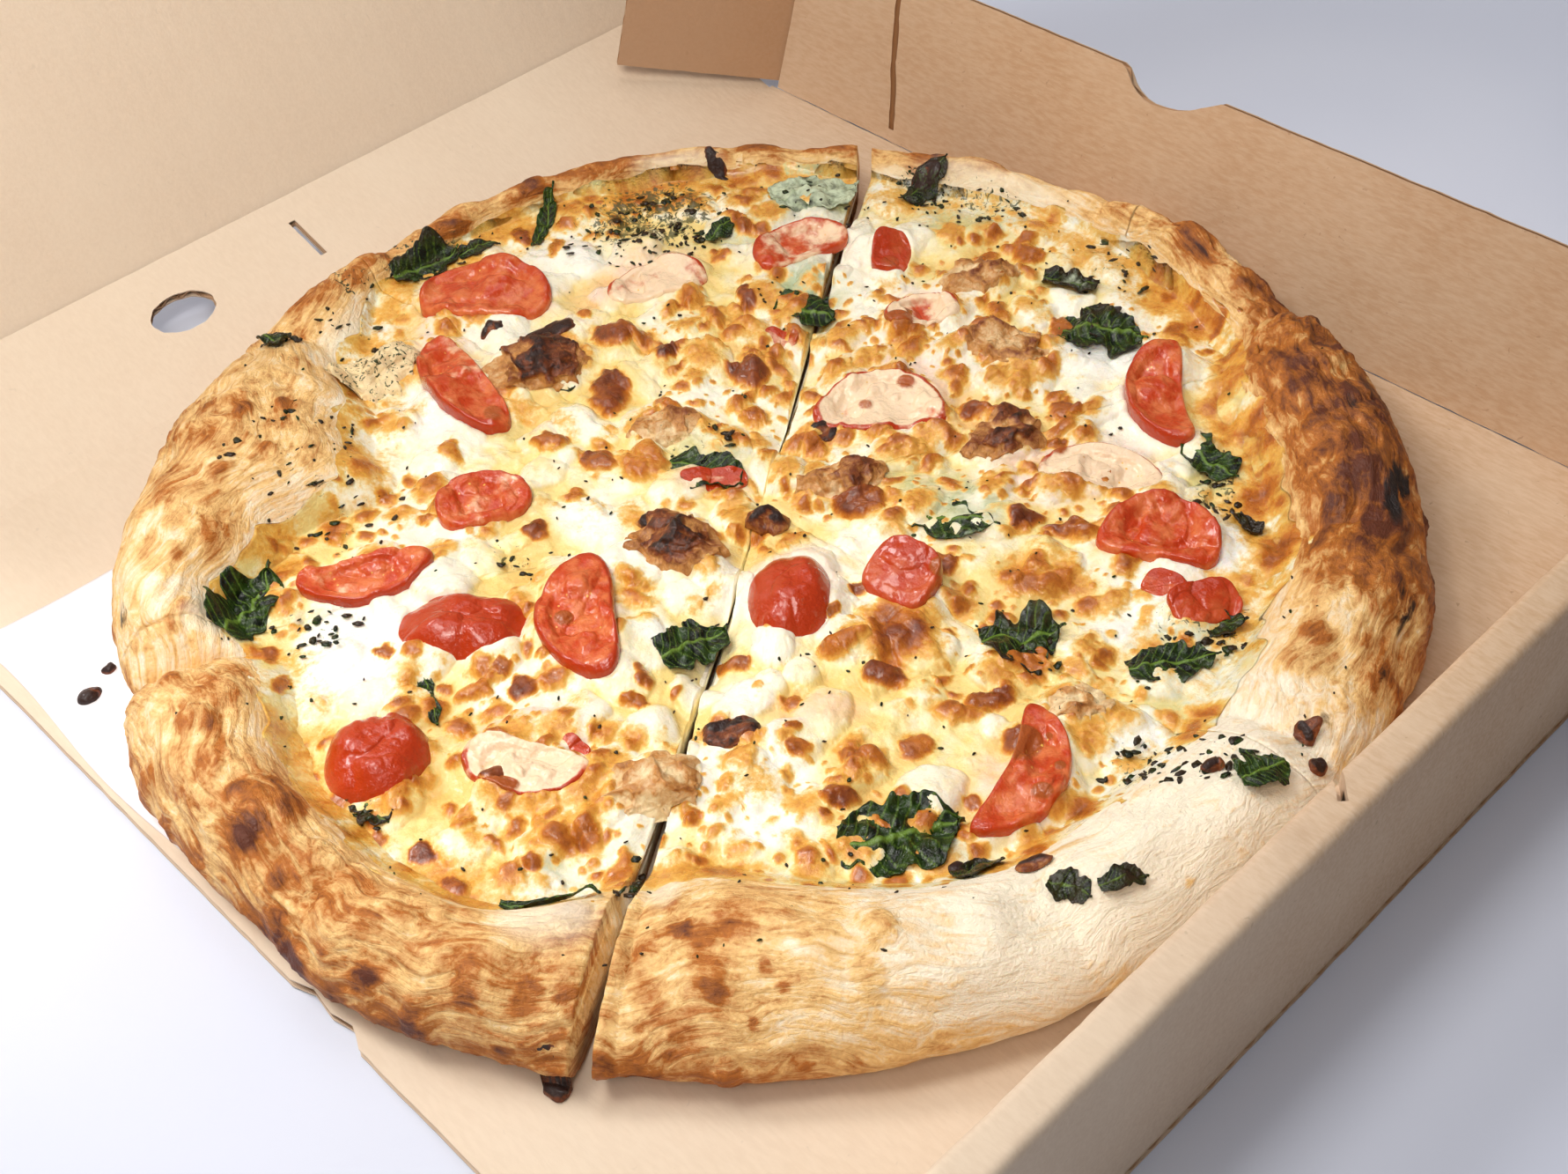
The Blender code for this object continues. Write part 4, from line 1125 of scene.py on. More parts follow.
@dataclass
class DoughSlice:
    """One slice of the dough, with its share of the puffed crust.

    The ridges of the flaky skin and the bubbles on it are in millimetres, and the base is the share of the way
    to the crust's inner edge for each row of points under the cheese.
    """

    index: int
    columns: int = 220
    rim_steps: int = 11
    ridge: float = 1.0
    bubble: float = 1.1
    mean_radius: float = 165.0
    foot_inset: float = 14.0
    base: tuple[float, ...] = (0.0, 0.5, 0.85)

    def profile(self) -> tuple[np.ndarray, np.ndarray, np.ndarray, np.ndarray]:
        """Return the rows' shares: under the cheese, over the rim, round the foot and back underneath."""
        rim = smooth_curve(list(FORM.rim), self.rim_steps)
        under = smooth_curve([(0.0, 1.0), *[(inset, height / 7.0) for inset, height in FORM.under[1:]]], 5)
        return np.array(self.base), rim, under, np.array((0.5, 0.0))

    def points(self) -> tuple[np.ndarray, np.ndarray, np.ndarray]:
        """Return the slice's points with the angle and the rim's share of each."""
        apex, heading = FORM.wedge(self.index, self.columns)
        inner, _ = reach_at(apex, heading, lambda angle: FORM.rim_at(angle)[1])
        outer, angle = reach_at(apex, heading, lambda angle: FORM.rim_at(angle)[2])
        top = FORM.rim_at(angle)[0]
        base, rim, under, back = self.profile()
        edge = FORM.crumb + (top - FORM.crumb) * FORM.rim[-1][1]
        reach = [inner * share for share in base] + [inner + (outer - inner) * share for share in rim[:, 0]]
        height = [np.full(top.shape, FORM.crumb) for _ in base]
        height += [FORM.crumb + (top - FORM.crumb) * share for share in rim[:, 1]]
        reach += [outer - inset for inset in under[1:, 0]] + [(outer - self.foot_inset) * share for share in back]
        height += [edge * share for share in np.clip(under[1:, 1], 0.0, 1.0)] + [np.zeros(top.shape) for _ in back]
        reach, height = np.array(reach), np.array(height)
        share = np.concatenate((np.full(len(base), -1.0), rim[:, 0], np.full(len(under) - 1, 1.0),
                                np.full(len(back), 2.0)))
        x = apex[0] + reach * np.cos(heading)
        y = apex[1] + reach * np.sin(heading)
        over = np.concatenate((np.zeros(len(base)), rim[:, 1], np.zeros(len(under) - 1 + len(back))))
        height = height + FORM.crust_lump(x, y, np.broadcast_to(over[:, None], x.shape))
        points = np.stack((x, y, height + FORM.foot), axis=-1)
        return points, np.degrees(np.arctan2(y, x)) % 360.0, np.broadcast_to(share[:, None], x.shape)

    def make(self, material: bpy.types.Material) -> bpy.types.Object:
        """Build the slice.

        Args:
            material: The crust's finish.

        Returns:
            The finished piece.
        """
        points, angle, share = self.points()
        across, down, scale = VIEW.project(points)
        run = np.radians(angle) * self.mean_radius
        steps = np.linalg.norm(np.diff(points, axis=0, prepend=points[:1]), axis=-1)
        climb = np.cumsum(np.where(share >= 0.0, steps, 0.0), axis=0)
        warp = lumps(points, 16.0, 41, 2)
        way = np.stack((run / 8.0 + warp * 1.4, climb / 2.3 + warp * 2.2, warp), axis=-1)
        shown = smooth(0.12, 0.42, share) * (share < 1.5)
        flakes = around(CRUST_FLAKES, angle) * shown
        torn = 1.0 - np.abs(lumps(way, 1.6, 7, 3)) * 2.0
        bump = self.ridge * flakes * np.clip(torn, -0.6, 1.0)
        bump += 0.6 * shown * (0.3 + 0.7 * np.minimum(flakes, 1.0)) * lumps(points, 7.0, 19, 4)
        bump += 1.5 * shown * lumps(points, 26.0, 15, 2)
        inside, radius = scattered(points[..., 0] + warp, points[..., 1] - warp, 15.0, 61, 2.2, 5.5, 0.55)
        blister = cap(inside)
        calm = 1.0 - 0.8 * smooth(236.0, 246.0, angle) * (1.0 - smooth(272.0, 284.0, angle))
        bump += self.bubble * 0.22 * radius * blister * shown * calm
        torn_marks = 0.62 + 0.75 * lumps(way, 1.3, 57, 3) + 0.35 * warp
        side_warp = lumps(points, 7.0, 63, 3)
        marks = spots(CRUST_BROWNS, across + 9.0 * side_warp, down + 9.0 * warp, 0.45) * np.clip(torn_marks, 0.0, 1.1)
        bump += 0.5 * domes(CRUST_BROWNS, across, down, scale, 0.16) * shown
        shift = grid_normals(points) * bump[..., None]
        for column, side in ((0, 1.0), (-1, -1.0)):
            start = FORM.cut_start + (self.index + (0 if column == 0 else 1)) * 360.0 / FORM.slices
            _, normal, _ = FORM.cut(start, side)
            shift[:, column, :2] -= (shift[:, column, :2] @ normal)[:, None] * normal
        shift[-1] = shift[-2] = shift[0] = shift[1] = 0.0
        points = points + shift
        points[..., 2] = np.maximum(points[..., 2], FORM.foot)
        points[..., 0], points[..., 1] = wander_cut(points[..., 0], points[..., 1], 0.35)
        under = smooth(0.93, 1.0, share)
        tone = around(CRUST_TONES, angle) * (0.55 + 0.45 * smooth(0.05, 0.5, share))
        tone = tone * 0.86 + 0.42 * marks * smooth(0.05, 0.3, share) + 0.16 * blister * calm * shown
        tone = tone + 0.22 * flakes * lumps(points, 5.0, 87, 3)
        tone = tone + 0.30 * np.clip(-torn, 0.0, 1.0) * flakes + 0.16 * under
        char = spots(CRUST_CHARS, across + 9.0 * side_warp, down + 9.0 * warp, 0.8)
        char = char * shown * np.clip(torn_marks, 0.0, 1.0)
        white = spots(WHITE_PATCHES, across, down, 0.4) * (1.0 - smooth(0.35, 0.7, share)) * 0.8
        white = np.maximum(white, 0.85 * (share < 0.02))
        paints = {"bake": tone, "char": char, "white": white, "way": way,
                  "herb": spots(HERB_ZONES, across, down, 0.5) * (share < 0.95)}
        piece = grid_piece(f"crust_slice_{self.index + 1}", points, True, paints)
        return finish_piece(piece, f"crust_slice_{self.index + 1}", material, Body.TRAY, Slot.CRUST,
                            f"dough_{self.index + 1}")


@dataclass
class CheeseBlanket:
    """The form of the melted cheese: mounds, blisters, and a rim round everything that lies in it.

    Mounds, blisters and the small beads of fat are as high as these shares of their radius.
    """

    mound: float = 0.34
    blister: float = 0.50
    bead: float = 0.50

    def relief(self, x: np.ndarray, y: np.ndarray) -> tuple[np.ndarray, np.ndarray]:
        """Return the cheese's own height and how much it browned, from 0 to 1, over the plan."""
        places = np.stack((x, y, 0.0 * x), axis=-1)
        warp = lumps(places, 9.0, 23, 3)
        other = lumps(places, 9.0, 29, 3)
        cluster = smooth(-0.45, 0.45, lumps(places, 34.0, 83, 2) + 0.05)
        mounds, mound_radius = scattered(x + 3.0 * warp, y + 3.0 * other, 15.0, 53, 5.0, 9.5, 0.85)
        ragged, frayed = lumps(places, 3.2, 33, 2), lumps(places, 3.2, 39, 2)
        blisters, blister_radius = scattered(x + 2.6 * warp + 1.2 * ragged, y - 2.6 * other + 1.2 * frayed, 9.0, 71,
                                             1.6, 4.4, 0.8)
        beads, bead_radius = scattered(x + 0.8 * other, y - 0.8 * warp, 4.6, 77, 0.6, 1.7, 0.7)
        height = self.mound * mound_radius * cap(mounds) + 1.9 * lumps(places, 24.0, 31, 2)
        height += 1.0 * lumps(places, 6.5, 35, 3) + 0.25 * lumps(places, 2.2, 37, 2)
        many = smooth(0.25, 0.7, cluster)
        height += self.blister * blister_radius * cap(blisters) * (0.25 + 0.75 * many)
        height += self.bead * bead_radius * cap(beads) * smooth(0.3, 0.8, cluster + 0.3 * warp)
        brown = 0.62 * smooth(-0.9, 0.85, blisters) * (0.12 + 0.88 * many)
        brown = np.maximum(brown, 0.40 * smooth(-0.2, 0.9, mounds) * smooth(0.35, 0.9, cluster + 0.35 * other))
        brown = np.maximum(brown, 0.42 * smooth(-0.3, 0.5, beads) * smooth(0.4, 0.8, cluster + 0.3 * warp))
        return height, brown

    def rims(self, x: np.ndarray, y: np.ndarray, dig: float) -> np.ndarray:
        """Return the height of the cheese that stands against toppings, and its hollow under them."""
        height = np.zeros(x.shape)
        for item in (*TOMATOES, *CHICKEN):
            spot = item.spot
            near = np.hypot(x - spot.x, y - spot.y) < spot.length
            turn = math.radians(spot.heading)
            along = (x[near] - spot.x) * math.cos(turn) + (y[near] - spot.y) * math.sin(turn)
            across = (y[near] - spot.y) * math.cos(turn) - (x[near] - spot.x) * math.sin(turn)
            across = across - spot.bend * (1.0 - (2.0 * along / spot.length) ** 2)
            reach = np.hypot(2.0 * along / spot.length, 2.0 * across / spot.width)
            rise = 1.5 * np.exp(-((reach - 1.05) / 0.22) ** 2) - dig * (1.0 - smooth(0.6, 0.95, reach))
            height[near] = np.where(np.abs(rise) > np.abs(height[near]), rise, height[near])
        return height


BLANKET = CheeseBlanket()


@dataclass
class CheeseSlice:
    """One slice of the melted cheese, which thins out on the foot of the crust.

    The edge is the share of the rim that the cheese climbs, and the film is its thickness there in millimetres.
    """

    index: int
    columns: int = 310
    rows: int = 200
    edge: float = 0.24
    film: float = 1.3

    def outline(self) -> tuple[np.ndarray, np.ndarray, np.ndarray]:
        """Return the slice's point, its headings and how far the cheese reaches along each."""
        apex, heading = FORM.wedge(self.index, self.columns)
        inner, _ = reach_at(apex, heading, lambda angle: FORM.rim_at(angle)[1])
        outer, angle = reach_at(apex, heading, lambda angle: FORM.rim_at(angle)[2])
        wander = np.stack((np.cos(np.radians(angle)) * 150.0, np.sin(np.radians(angle)) * 150.0, 0.0 * angle), axis=-1)
        return apex, heading, inner + (outer - inner) * (self.edge + 0.22 * lumps(wander, 20.0, 5, 3))

    def make(self, material: bpy.types.Material) -> bpy.types.Object:
        """Build the slice.

        Args:
            material: The cheese's finish.

        Returns:
            The finished piece.
        """
        apex, heading, reach = self.outline()
        share = np.concatenate((np.linspace(0.0, 1.0, self.rows), np.array((0.97, 0.9, 0.8, 0.65, 0.4, 0.0))))
        share = np.broadcast_to(share[:, None], (len(share), self.columns))
        x = apex[0] + share * reach * np.cos(heading)
        y = apex[1] + share * reach * np.sin(heading)
        dough, flat = FORM.heights(x, y)
        film = dough + self.film * (1.0 - smooth(0.5, 1.0, share)) + 0.15
        height = np.maximum(flat, film) + 0.5 * np.exp(-np.abs(flat - film) / 1.2)
        places = np.stack((x, y, 0.0 * x), axis=-1)
        across, down, scale = VIEW.project(np.stack((x, y, height), axis=-1))
        warp, other = lumps(places, 8.0, 23, 3), lumps(places, 8.0, 27, 3)
        seen_across = across + 7.0 * warp + 5.0 * lumps(places, 3.0, 45, 2)
        seen_down = down + 7.0 * other + 5.0 * lumps(places, 3.0, 47, 2)
        marks = spots(BLISTERS, seen_across, seen_down, 0.3)
        halo = spots(BLISTERS, seen_across, seen_down, 0.95)
        patches = spots(BROWN_PATCHES, across + 16.0 * warp, down - 16.0 * other, 0.6)
        white = spots(WHITE_PATCHES, across + 10.0 * warp, down, 0.5)
        calm = 1.0 - 0.8 * white
        rise, brown = BLANKET.relief(x, y)
        edge = 1.0 - smooth(0.86, 1.0, share)
        raise_up = rise * (0.45 + 0.55 * calm) + domes(BLISTERS, seen_across, seen_down, scale, 0.42)
        raise_up += 1.6 * patches * np.abs(lumps(places, 7.0, 43, 2)) + BLANKET.rims(x, y, 0.8)
        start = FORM.cut_start + self.index * 360.0 / FORM.slices
        near_cut = np.zeros(x.shape)
        for cut_angle, side in ((start, 1.0), (start + 360.0 / FORM.slices, -1.0)):
            _, normal, gap = FORM.cut(cut_angle, side)
            away = np.abs(x * normal[0] + y * normal[1] - gap)
            opened = gap > 0.5
            line = np.stack((np.hypot(x, y), np.full(x.shape, cut_angle % 360.0), 0.0 * x), axis=-1)
            deep = 1.0 + 0.5 * lumps(line, 20.0, 61, 2)
            raise_up -= (2.0 if opened else 0.9) * deep * np.exp(-(away / (2.8 if opened else 1.2)) ** 2)
            closeness = np.exp(-(away / (2.5 if opened else 0.8)) ** 2)
            near_cut = np.maximum(near_cut, closeness * (0.8 if opened else 0.35))
        height = np.maximum(height + raise_up * edge, dough - 0.25)
        lower = np.arange(len(share))[:, None] >= self.rows
        height = np.where(lower, dough - 0.3, height)
        seen_x, seen_y = wander_cut(x, y, 0.85)
        points = np.stack((seen_x, seen_y, height), axis=-1)
        # Pooled fat and painted shade: the low places between the mounds are painted more golden, partly for fat that
        # pools there and partly as painted shade in the hollows.
        valley = 1.0 - smooth(-0.8, 1.0, rise)
        gold = 0.26 + 0.6 * lumps(places, 30.0, 91, 2) - 0.4 * (1.0 - calm) + 0.45 * smooth(0.08, 0.4, brown)
        gold = gold + 0.7 * halo + 0.45 * valley * calm
        toast = np.maximum(marks * (0.80 + 0.25 * warp), brown * calm)
        toast = np.maximum(toast, halo * 0.34)
        toast = np.maximum(toast, patches * (0.55 + 0.6 * other)) - 0.15 * near_cut
        rim_brown = smooth(0.80, 0.97, share + 0.06 * other) * around(CRUST_TONES, np.degrees(np.arctan2(y, x)) % 360.0)
        toast = np.maximum(toast, rim_brown * (0.5 + 0.7 * warp))
        paints = {
            "toast": toast, "gold": gold, "white": white * 0.8,
            "herb": spots(HERB_ZONES, across, down, 0.5), "pink": spots(PINK_FILMS, across, down, 0.6) * 0.6,
            "green": spots(GREEN_FILMS, across, down, 0.6) * 0.85,
        }
        piece = grid_piece(f"cheese_slice_{self.index + 1}", points, True, paints)
        return finish_piece(piece, f"cheese_slice_{self.index + 1}", material, Body.TRAY, Slot.CHEESE,
                            f"cheese_{self.index + 1}")


# The toppings


@dataclass(frozen=True)
class Spot:
    """Where a piece of topping lies: its middle, its size, its heading in degrees, and how much it is bent."""

    x: float
    y: float
    length: float
    width: float
    height: float
    heading: float
    bend: float = 0.0

    def plan(self, along: np.ndarray, across: np.ndarray) -> tuple[np.ndarray, np.ndarray]:
        """Return the place in the plan for a place along and across the piece."""
        across = across + self.bend * (1.0 - (2.0 * along / self.length) ** 2)
        turn = math.radians(self.heading)
        return (self.x + along * math.cos(turn) - across * math.sin(turn),
                self.y + along * math.sin(turn) + across * math.cos(turn))


def bed(x: np.ndarray, y: np.ndarray) -> np.ndarray:
    """Return the height that toppings lie on: the cheese, or outside the crust the paper on the floor."""
    dough, flat = FORM.heights(x, y)
    rise, _ = BLANKET.relief(x, y)
    outer = FORM.rim_at(np.degrees(np.arctan2(y, x)) % 360.0)[2]
    return np.where(np.hypot(x, y) > outer - 1.0, FORM.paper_top, np.maximum(dough + 0.8, flat) + 0.6 * rise)


def slab_grid(spot: Spot, columns: int, square: float, round_off: float) -> tuple[np.ndarray, ...]:
    """Return the grid of a slab that is closed at a point on its top and one on its bottom.

    Args:
        spot: The piece's place.
        columns: Columns round it.
        square: The power of its outline, 2 for an oval and more for a squarer one.
        round_off: How wide its rounded edge is, as a share of its radius.

    Returns:
        Along and across in millimetres, the share of the height, the share of the way out, and which rows are the side.
    """
    top = np.linspace(0.0, 1.0 - round_off, 34)
    turn = np.linspace(0.0, math.pi / 2.0, 9)[1:]
    edge = 1.0 - round_off + round_off * np.sin(turn)
    reach = np.concatenate((top, edge, (1.0, 0.995, 0.97, 0.6, 0.0)))
    share = np.concatenate((np.ones(len(top)), 1.0 - 0.32 * (1.0 - np.cos(turn)), (0.5, 0.25, 0.05, 0.0, 0.0)))
    side = np.concatenate((np.zeros(len(top)), turn / turn[-1], (1.0, 1.0, 1.0, 0.0, 0.0)))
    angle = np.linspace(0.0, math.tau, columns)
    cosine, sine = np.cos(angle), np.sin(angle)
    radius = (np.abs(cosine) ** square + np.abs(sine) ** square) ** (-1.0 / square)
    along = reach[:, None] * (radius * cosine)[None, :] * spot.length / 2.0
    across = reach[:, None] * (radius * sine)[None, :] * spot.width / 2.0
    full = along.shape
    return (along, across, np.broadcast_to(share[:, None], full), np.broadcast_to(reach[:, None], full),
            np.broadcast_to(side[:, None], full))


def close_tube(piece: bpy.types.Object) -> None:
    """Join the seam and the two ends of a shape made from a grid, and point its faces outwards."""
    pick(piece)
    bpy.ops.object.mode_set(mode="EDIT")
    bpy.ops.mesh.select_all(action="SELECT")
    bpy.ops.mesh.remove_doubles(threshold=0.004)
    bpy.ops.mesh.normals_make_consistent(inside=False)
    bpy.ops.object.mode_set(mode="OBJECT")


TOMATO_OUTLINES = {TomatoCut.CRESCENT: (2.3, 0.10), TomatoCut.ROUND: (2.1, 0.10), TomatoCut.DOME: (2.2, 0.5),
                   TomatoCut.CHUNK: (3.4, 0.12)}


@dataclass(frozen=True)
class TomatoPiece:
    """A piece of tomato: how it was cut, where it lies, how much cheese ran over it, its skin's side and its tilt."""

    name: str
    cut: TomatoCut
    spot: Spot
    film: float = 0.25
    skin_side: float = 1.0
    tilt: float = 0.0
    nodes: tuple[str, ...] = ()

    def make(self, material: bpy.types.Material) -> bpy.types.Object:
        """Build the piece.

        Args:
            material: The tomato's finish.

        Returns:
            The finished piece.
        """
        spot = self.spot
        along, across, share, reach, side = slab_grid(spot, 120, *TOMATO_OUTLINES[self.cut])
        outward = across / (spot.width / 2.0) * self.skin_side
        local = np.stack((along, across, share * 5.0 + spot.x), axis=-1)
        rough, fine, wave = lumps(local, 7.0, 101, 3), lumps(local, 1.8, 107, 2), lumps(local, 13.0, 109, 1)
        swell = 1.0 + 0.07 * wave * reach
        x, y = spot.plan(along * swell, across * swell)
        inner = np.clip(reach, 0.0, 1.0)
        if self.cut is TomatoCut.DOME:
            lift = spot.height * share * np.sqrt(np.clip(1.08 - inner ** 2.2, 0.0, 1.0)) + 0.5 * rough * share
            skin = smooth(0.1, 0.5, share + 0.25 * rough)
            gel = np.zeros(x.shape)
        elif self.cut is TomatoCut.CHUNK:
            lift = spot.height * share * (0.8 + 0.35 * outward) + 0.6 * rough * share
            skin = np.maximum(smooth(-0.3, 0.3, outward + 0.2 * rough) * smooth(0.2, 0.8, share), 0.6)
            gel = np.zeros(x.shape)
        else:
            pockets = smooth(0.02, 0.30, lumps(local, 10.0, 113, 1) + 0.18) * (1.0 - smooth(0.55, 0.72, reach))
            gel = pockets * (share > 0.9)
            outer_arc = smooth(-0.35, 0.25, outward) if self.cut is TomatoCut.CRESCENT else np.ones(x.shape)
            lift = spot.height * share * (0.92 + 0.10 * smooth(0.6, 0.95, reach)) - 1.5 * gel + 0.35 * rough * share
            skin = np.maximum(side * smooth(0.25, 0.8, side), smooth(0.86, 0.93, reach + 0.04 * rough)) * outer_arc
        lift = lift + self.tilt * outward * share + 0.12 * fine * (share > 0.2)
        lift = np.maximum(lift, 0.1 + 0.5 * share)
        sunk = 0.7 + 2.2 * smooth(0.5, 0.8, np.full(x.shape, self.film))
        points = np.stack((x, y, bed(x, y) - sunk + lift), axis=-1)
        pixel_across, pixel_down, scale = VIEW.project(points)
        blisters = spots(BLISTERS, pixel_across, pixel_down, 0.4)
        points[..., 2] += domes(BLISTERS, pixel_across, pixel_down, scale, 0.25) * (share > 0.9)
        scorch = smooth(0.35, 0.75, rough + 0.3 * fine + 0.15) * smooth(0.7, 0.95, reach) * (share > 0.5) * 0.5
        film = 1.25 * self.film + 0.65 * self.film ** 0.5 * lumps(local, 7.0, 131, 3)
        paints = {"skin": skin, "gel": gel, "toast": np.maximum(blisters * smooth(0.5, 0.9, share), scorch),
                  "film": film * smooth(0.3, 0.8, share) * (1.0 - 0.6 * skin)}
        piece = grid_piece(self.name, points, False, paints)
        close_tube(piece)
        return finish_piece(piece, self.name, material, Body.TRAY, Slot.TOMATO, *self.nodes)


@dataclass(frozen=True)
class SpinachLeaf:
    """A wilted leaf, crumpled and stuck to the cheese, with its midrib along it."""

    name: str
    spot: Spot
    film: float = 0.1
    dry: float = 0.3
    fold: float = 1.0
    nodes: tuple[str, ...] = ()

    def make(self, material: bpy.types.Material) -> bpy.types.Object:
        """Build the leaf.

        Args:
            material: The leaf's finish.

        Returns:
            The finished piece.
        """
        steps = 80 if self.nodes else 44
        u = np.linspace(-1.0, 1.0, steps)[:, None]
        v = np.linspace(-1.0, 1.0, steps * 3 // 4)[None, :]
        outline = np.clip(1.0 - np.abs(u + 0.15 * u * u) ** 2.6, 0.0, 1.0) ** 0.55
        seed = int(abs(self.spot.x) * 7 + abs(self.spot.y) * 3)
        margin = lumps(np.stack((u * 3.0 + 0.0 * v, np.sign(v) * 2.0 + 0.0 * u, 0.0 * u * v), axis=-1), 1.1, seed, 3)
        across = v * self.spot.width / 2.0 * outline * (1.0 + 0.5 * margin)
        along = np.broadcast_to(u * self.spot.length / 2.0, across.shape) * (1.0 + 0.05 * margin)
        places = np.stack((along, across, np.full(across.shape, seed * 1.0)), axis=-1)
        folds = lumps(places, 7.0, seed + 1, 3)
        crease = np.abs(lumps(places, 5.0, seed + 5, 2))
        x, y = self.spot.plan(along + 1.6 * folds, across + 2.4 * lumps(places, 6.5, seed + 9, 3))
        ribs = np.abs(((u * 5.0 - np.abs(v) * 1.6) % 1.0) - 0.5) * 2.0
        rib = np.maximum(smooth(0.12, 0.03, np.abs(v) + 0.0 * u), 0.7 * smooth(0.8, 0.98, ribs))
        curl = smooth(0.6, 1.0, np.abs(v)) * (0.5 + 0.5 * lumps(places, 12.0, seed + 13, 1))
        lift = self.spot.height * (0.3 + 0.9 * self.fold * (1.1 * folds + 1.1 * crease) + 0.5 * curl)
        lift = np.maximum(lift, 0.25) + 0.2 * rib
        points = np.stack((x, y, bed(x, y) + lift), axis=-1)
        paints = {"vein": rib * 0.8, "dry": self.dry + 0.4 * curl - 0.2, "film": self.film + 0.35 * folds - 0.1}
        piece = grid_piece(self.name, points, False, paints)
        solid = piece.modifiers.new("blade", "SOLIDIFY")
        solid.thickness = 0.35
        solid.offset = 1.0
        apply_modifiers(piece)
        return finish_piece(piece, self.name, material, Body.TRAY, Slot.SPINACH, *self.nodes)


@dataclass(frozen=True)
class ChickenPiece:
    """A torn lump of roast chicken, fibrous, with dark dried tips."""

    name: str
    spot: Spot
    bake: float = 0.35
    herb: float = 0.2
    nodes: tuple[str, ...] = ()

    def make(self, material: bpy.types.Material) -> bpy.types.Object:
        """Build the lump.

        Args:
            material: The chicken's finish.

        Returns:
            The finished piece.
        """
        deselect()
        bpy.ops.mesh.primitive_ico_sphere_add(subdivisions=6 if self.nodes else 4, radius=1.0)
        piece = bpy.context.object
        ball = coords(piece)
        seed = int(abs(self.spot.x) * 5 + abs(self.spot.y) * 11)
        size = np.array((self.spot.length / 2.0, self.spot.width / 2.0, self.spot.height))
        places = ball * size + seed
        chunk = lumps(places, 7.0, seed, 2)
        fibre = lumps(places * np.array((0.35, 1.0, 1.0)), 2.4, seed + 3, 3)
        shard = 1.0 - 2.0 * np.abs(lumps(places, 4.5, seed + 7, 2))
        block = np.round(ball * 1.9 + 0.5 * lumps(places, 6.0, seed + 11, 2)[:, None]) / 1.9
        ball = ball * 0.72 + 0.28 * block / np.maximum(np.linalg.norm(block, axis=1, keepdims=True), 0.4)
        swell = 1.0 + 0.42 * chunk + 0.22 * shard
        local = ball * size * swell[:, None]
        local += ball * (0.8 * fibre + 0.5 * shard)[:, None]
        x, y = self.spot.plan(local[:, 0], local[:, 1])
        rise = np.where(ball[:, 2] > 0.0, local[:, 2], ball[:, 2] * 0.8)
        height = bed(x, y) - 0.7 + np.maximum(rise, -0.8)
        place(piece, np.stack((x, y, height), axis=-1))
        across, down, _ = VIEW.project(np.stack((x, y, height), axis=-1))
        tip = smooth(0.15, 0.8, shard) * smooth(0.3, 0.9, ball[:, 2] * (1.0 + 0.4 * chunk))
        paint(piece, "bake", self.bake + 0.5 * tip * (0.4 + self.bake) + 0.2 * chunk)
        paint(piece, "herb", np.maximum(self.herb, spots(HERB_ZONES, across, down, 0.5)))
        return finish_piece(piece, self.name, material, Body.TRAY, Slot.CHICKEN, *self.nodes)


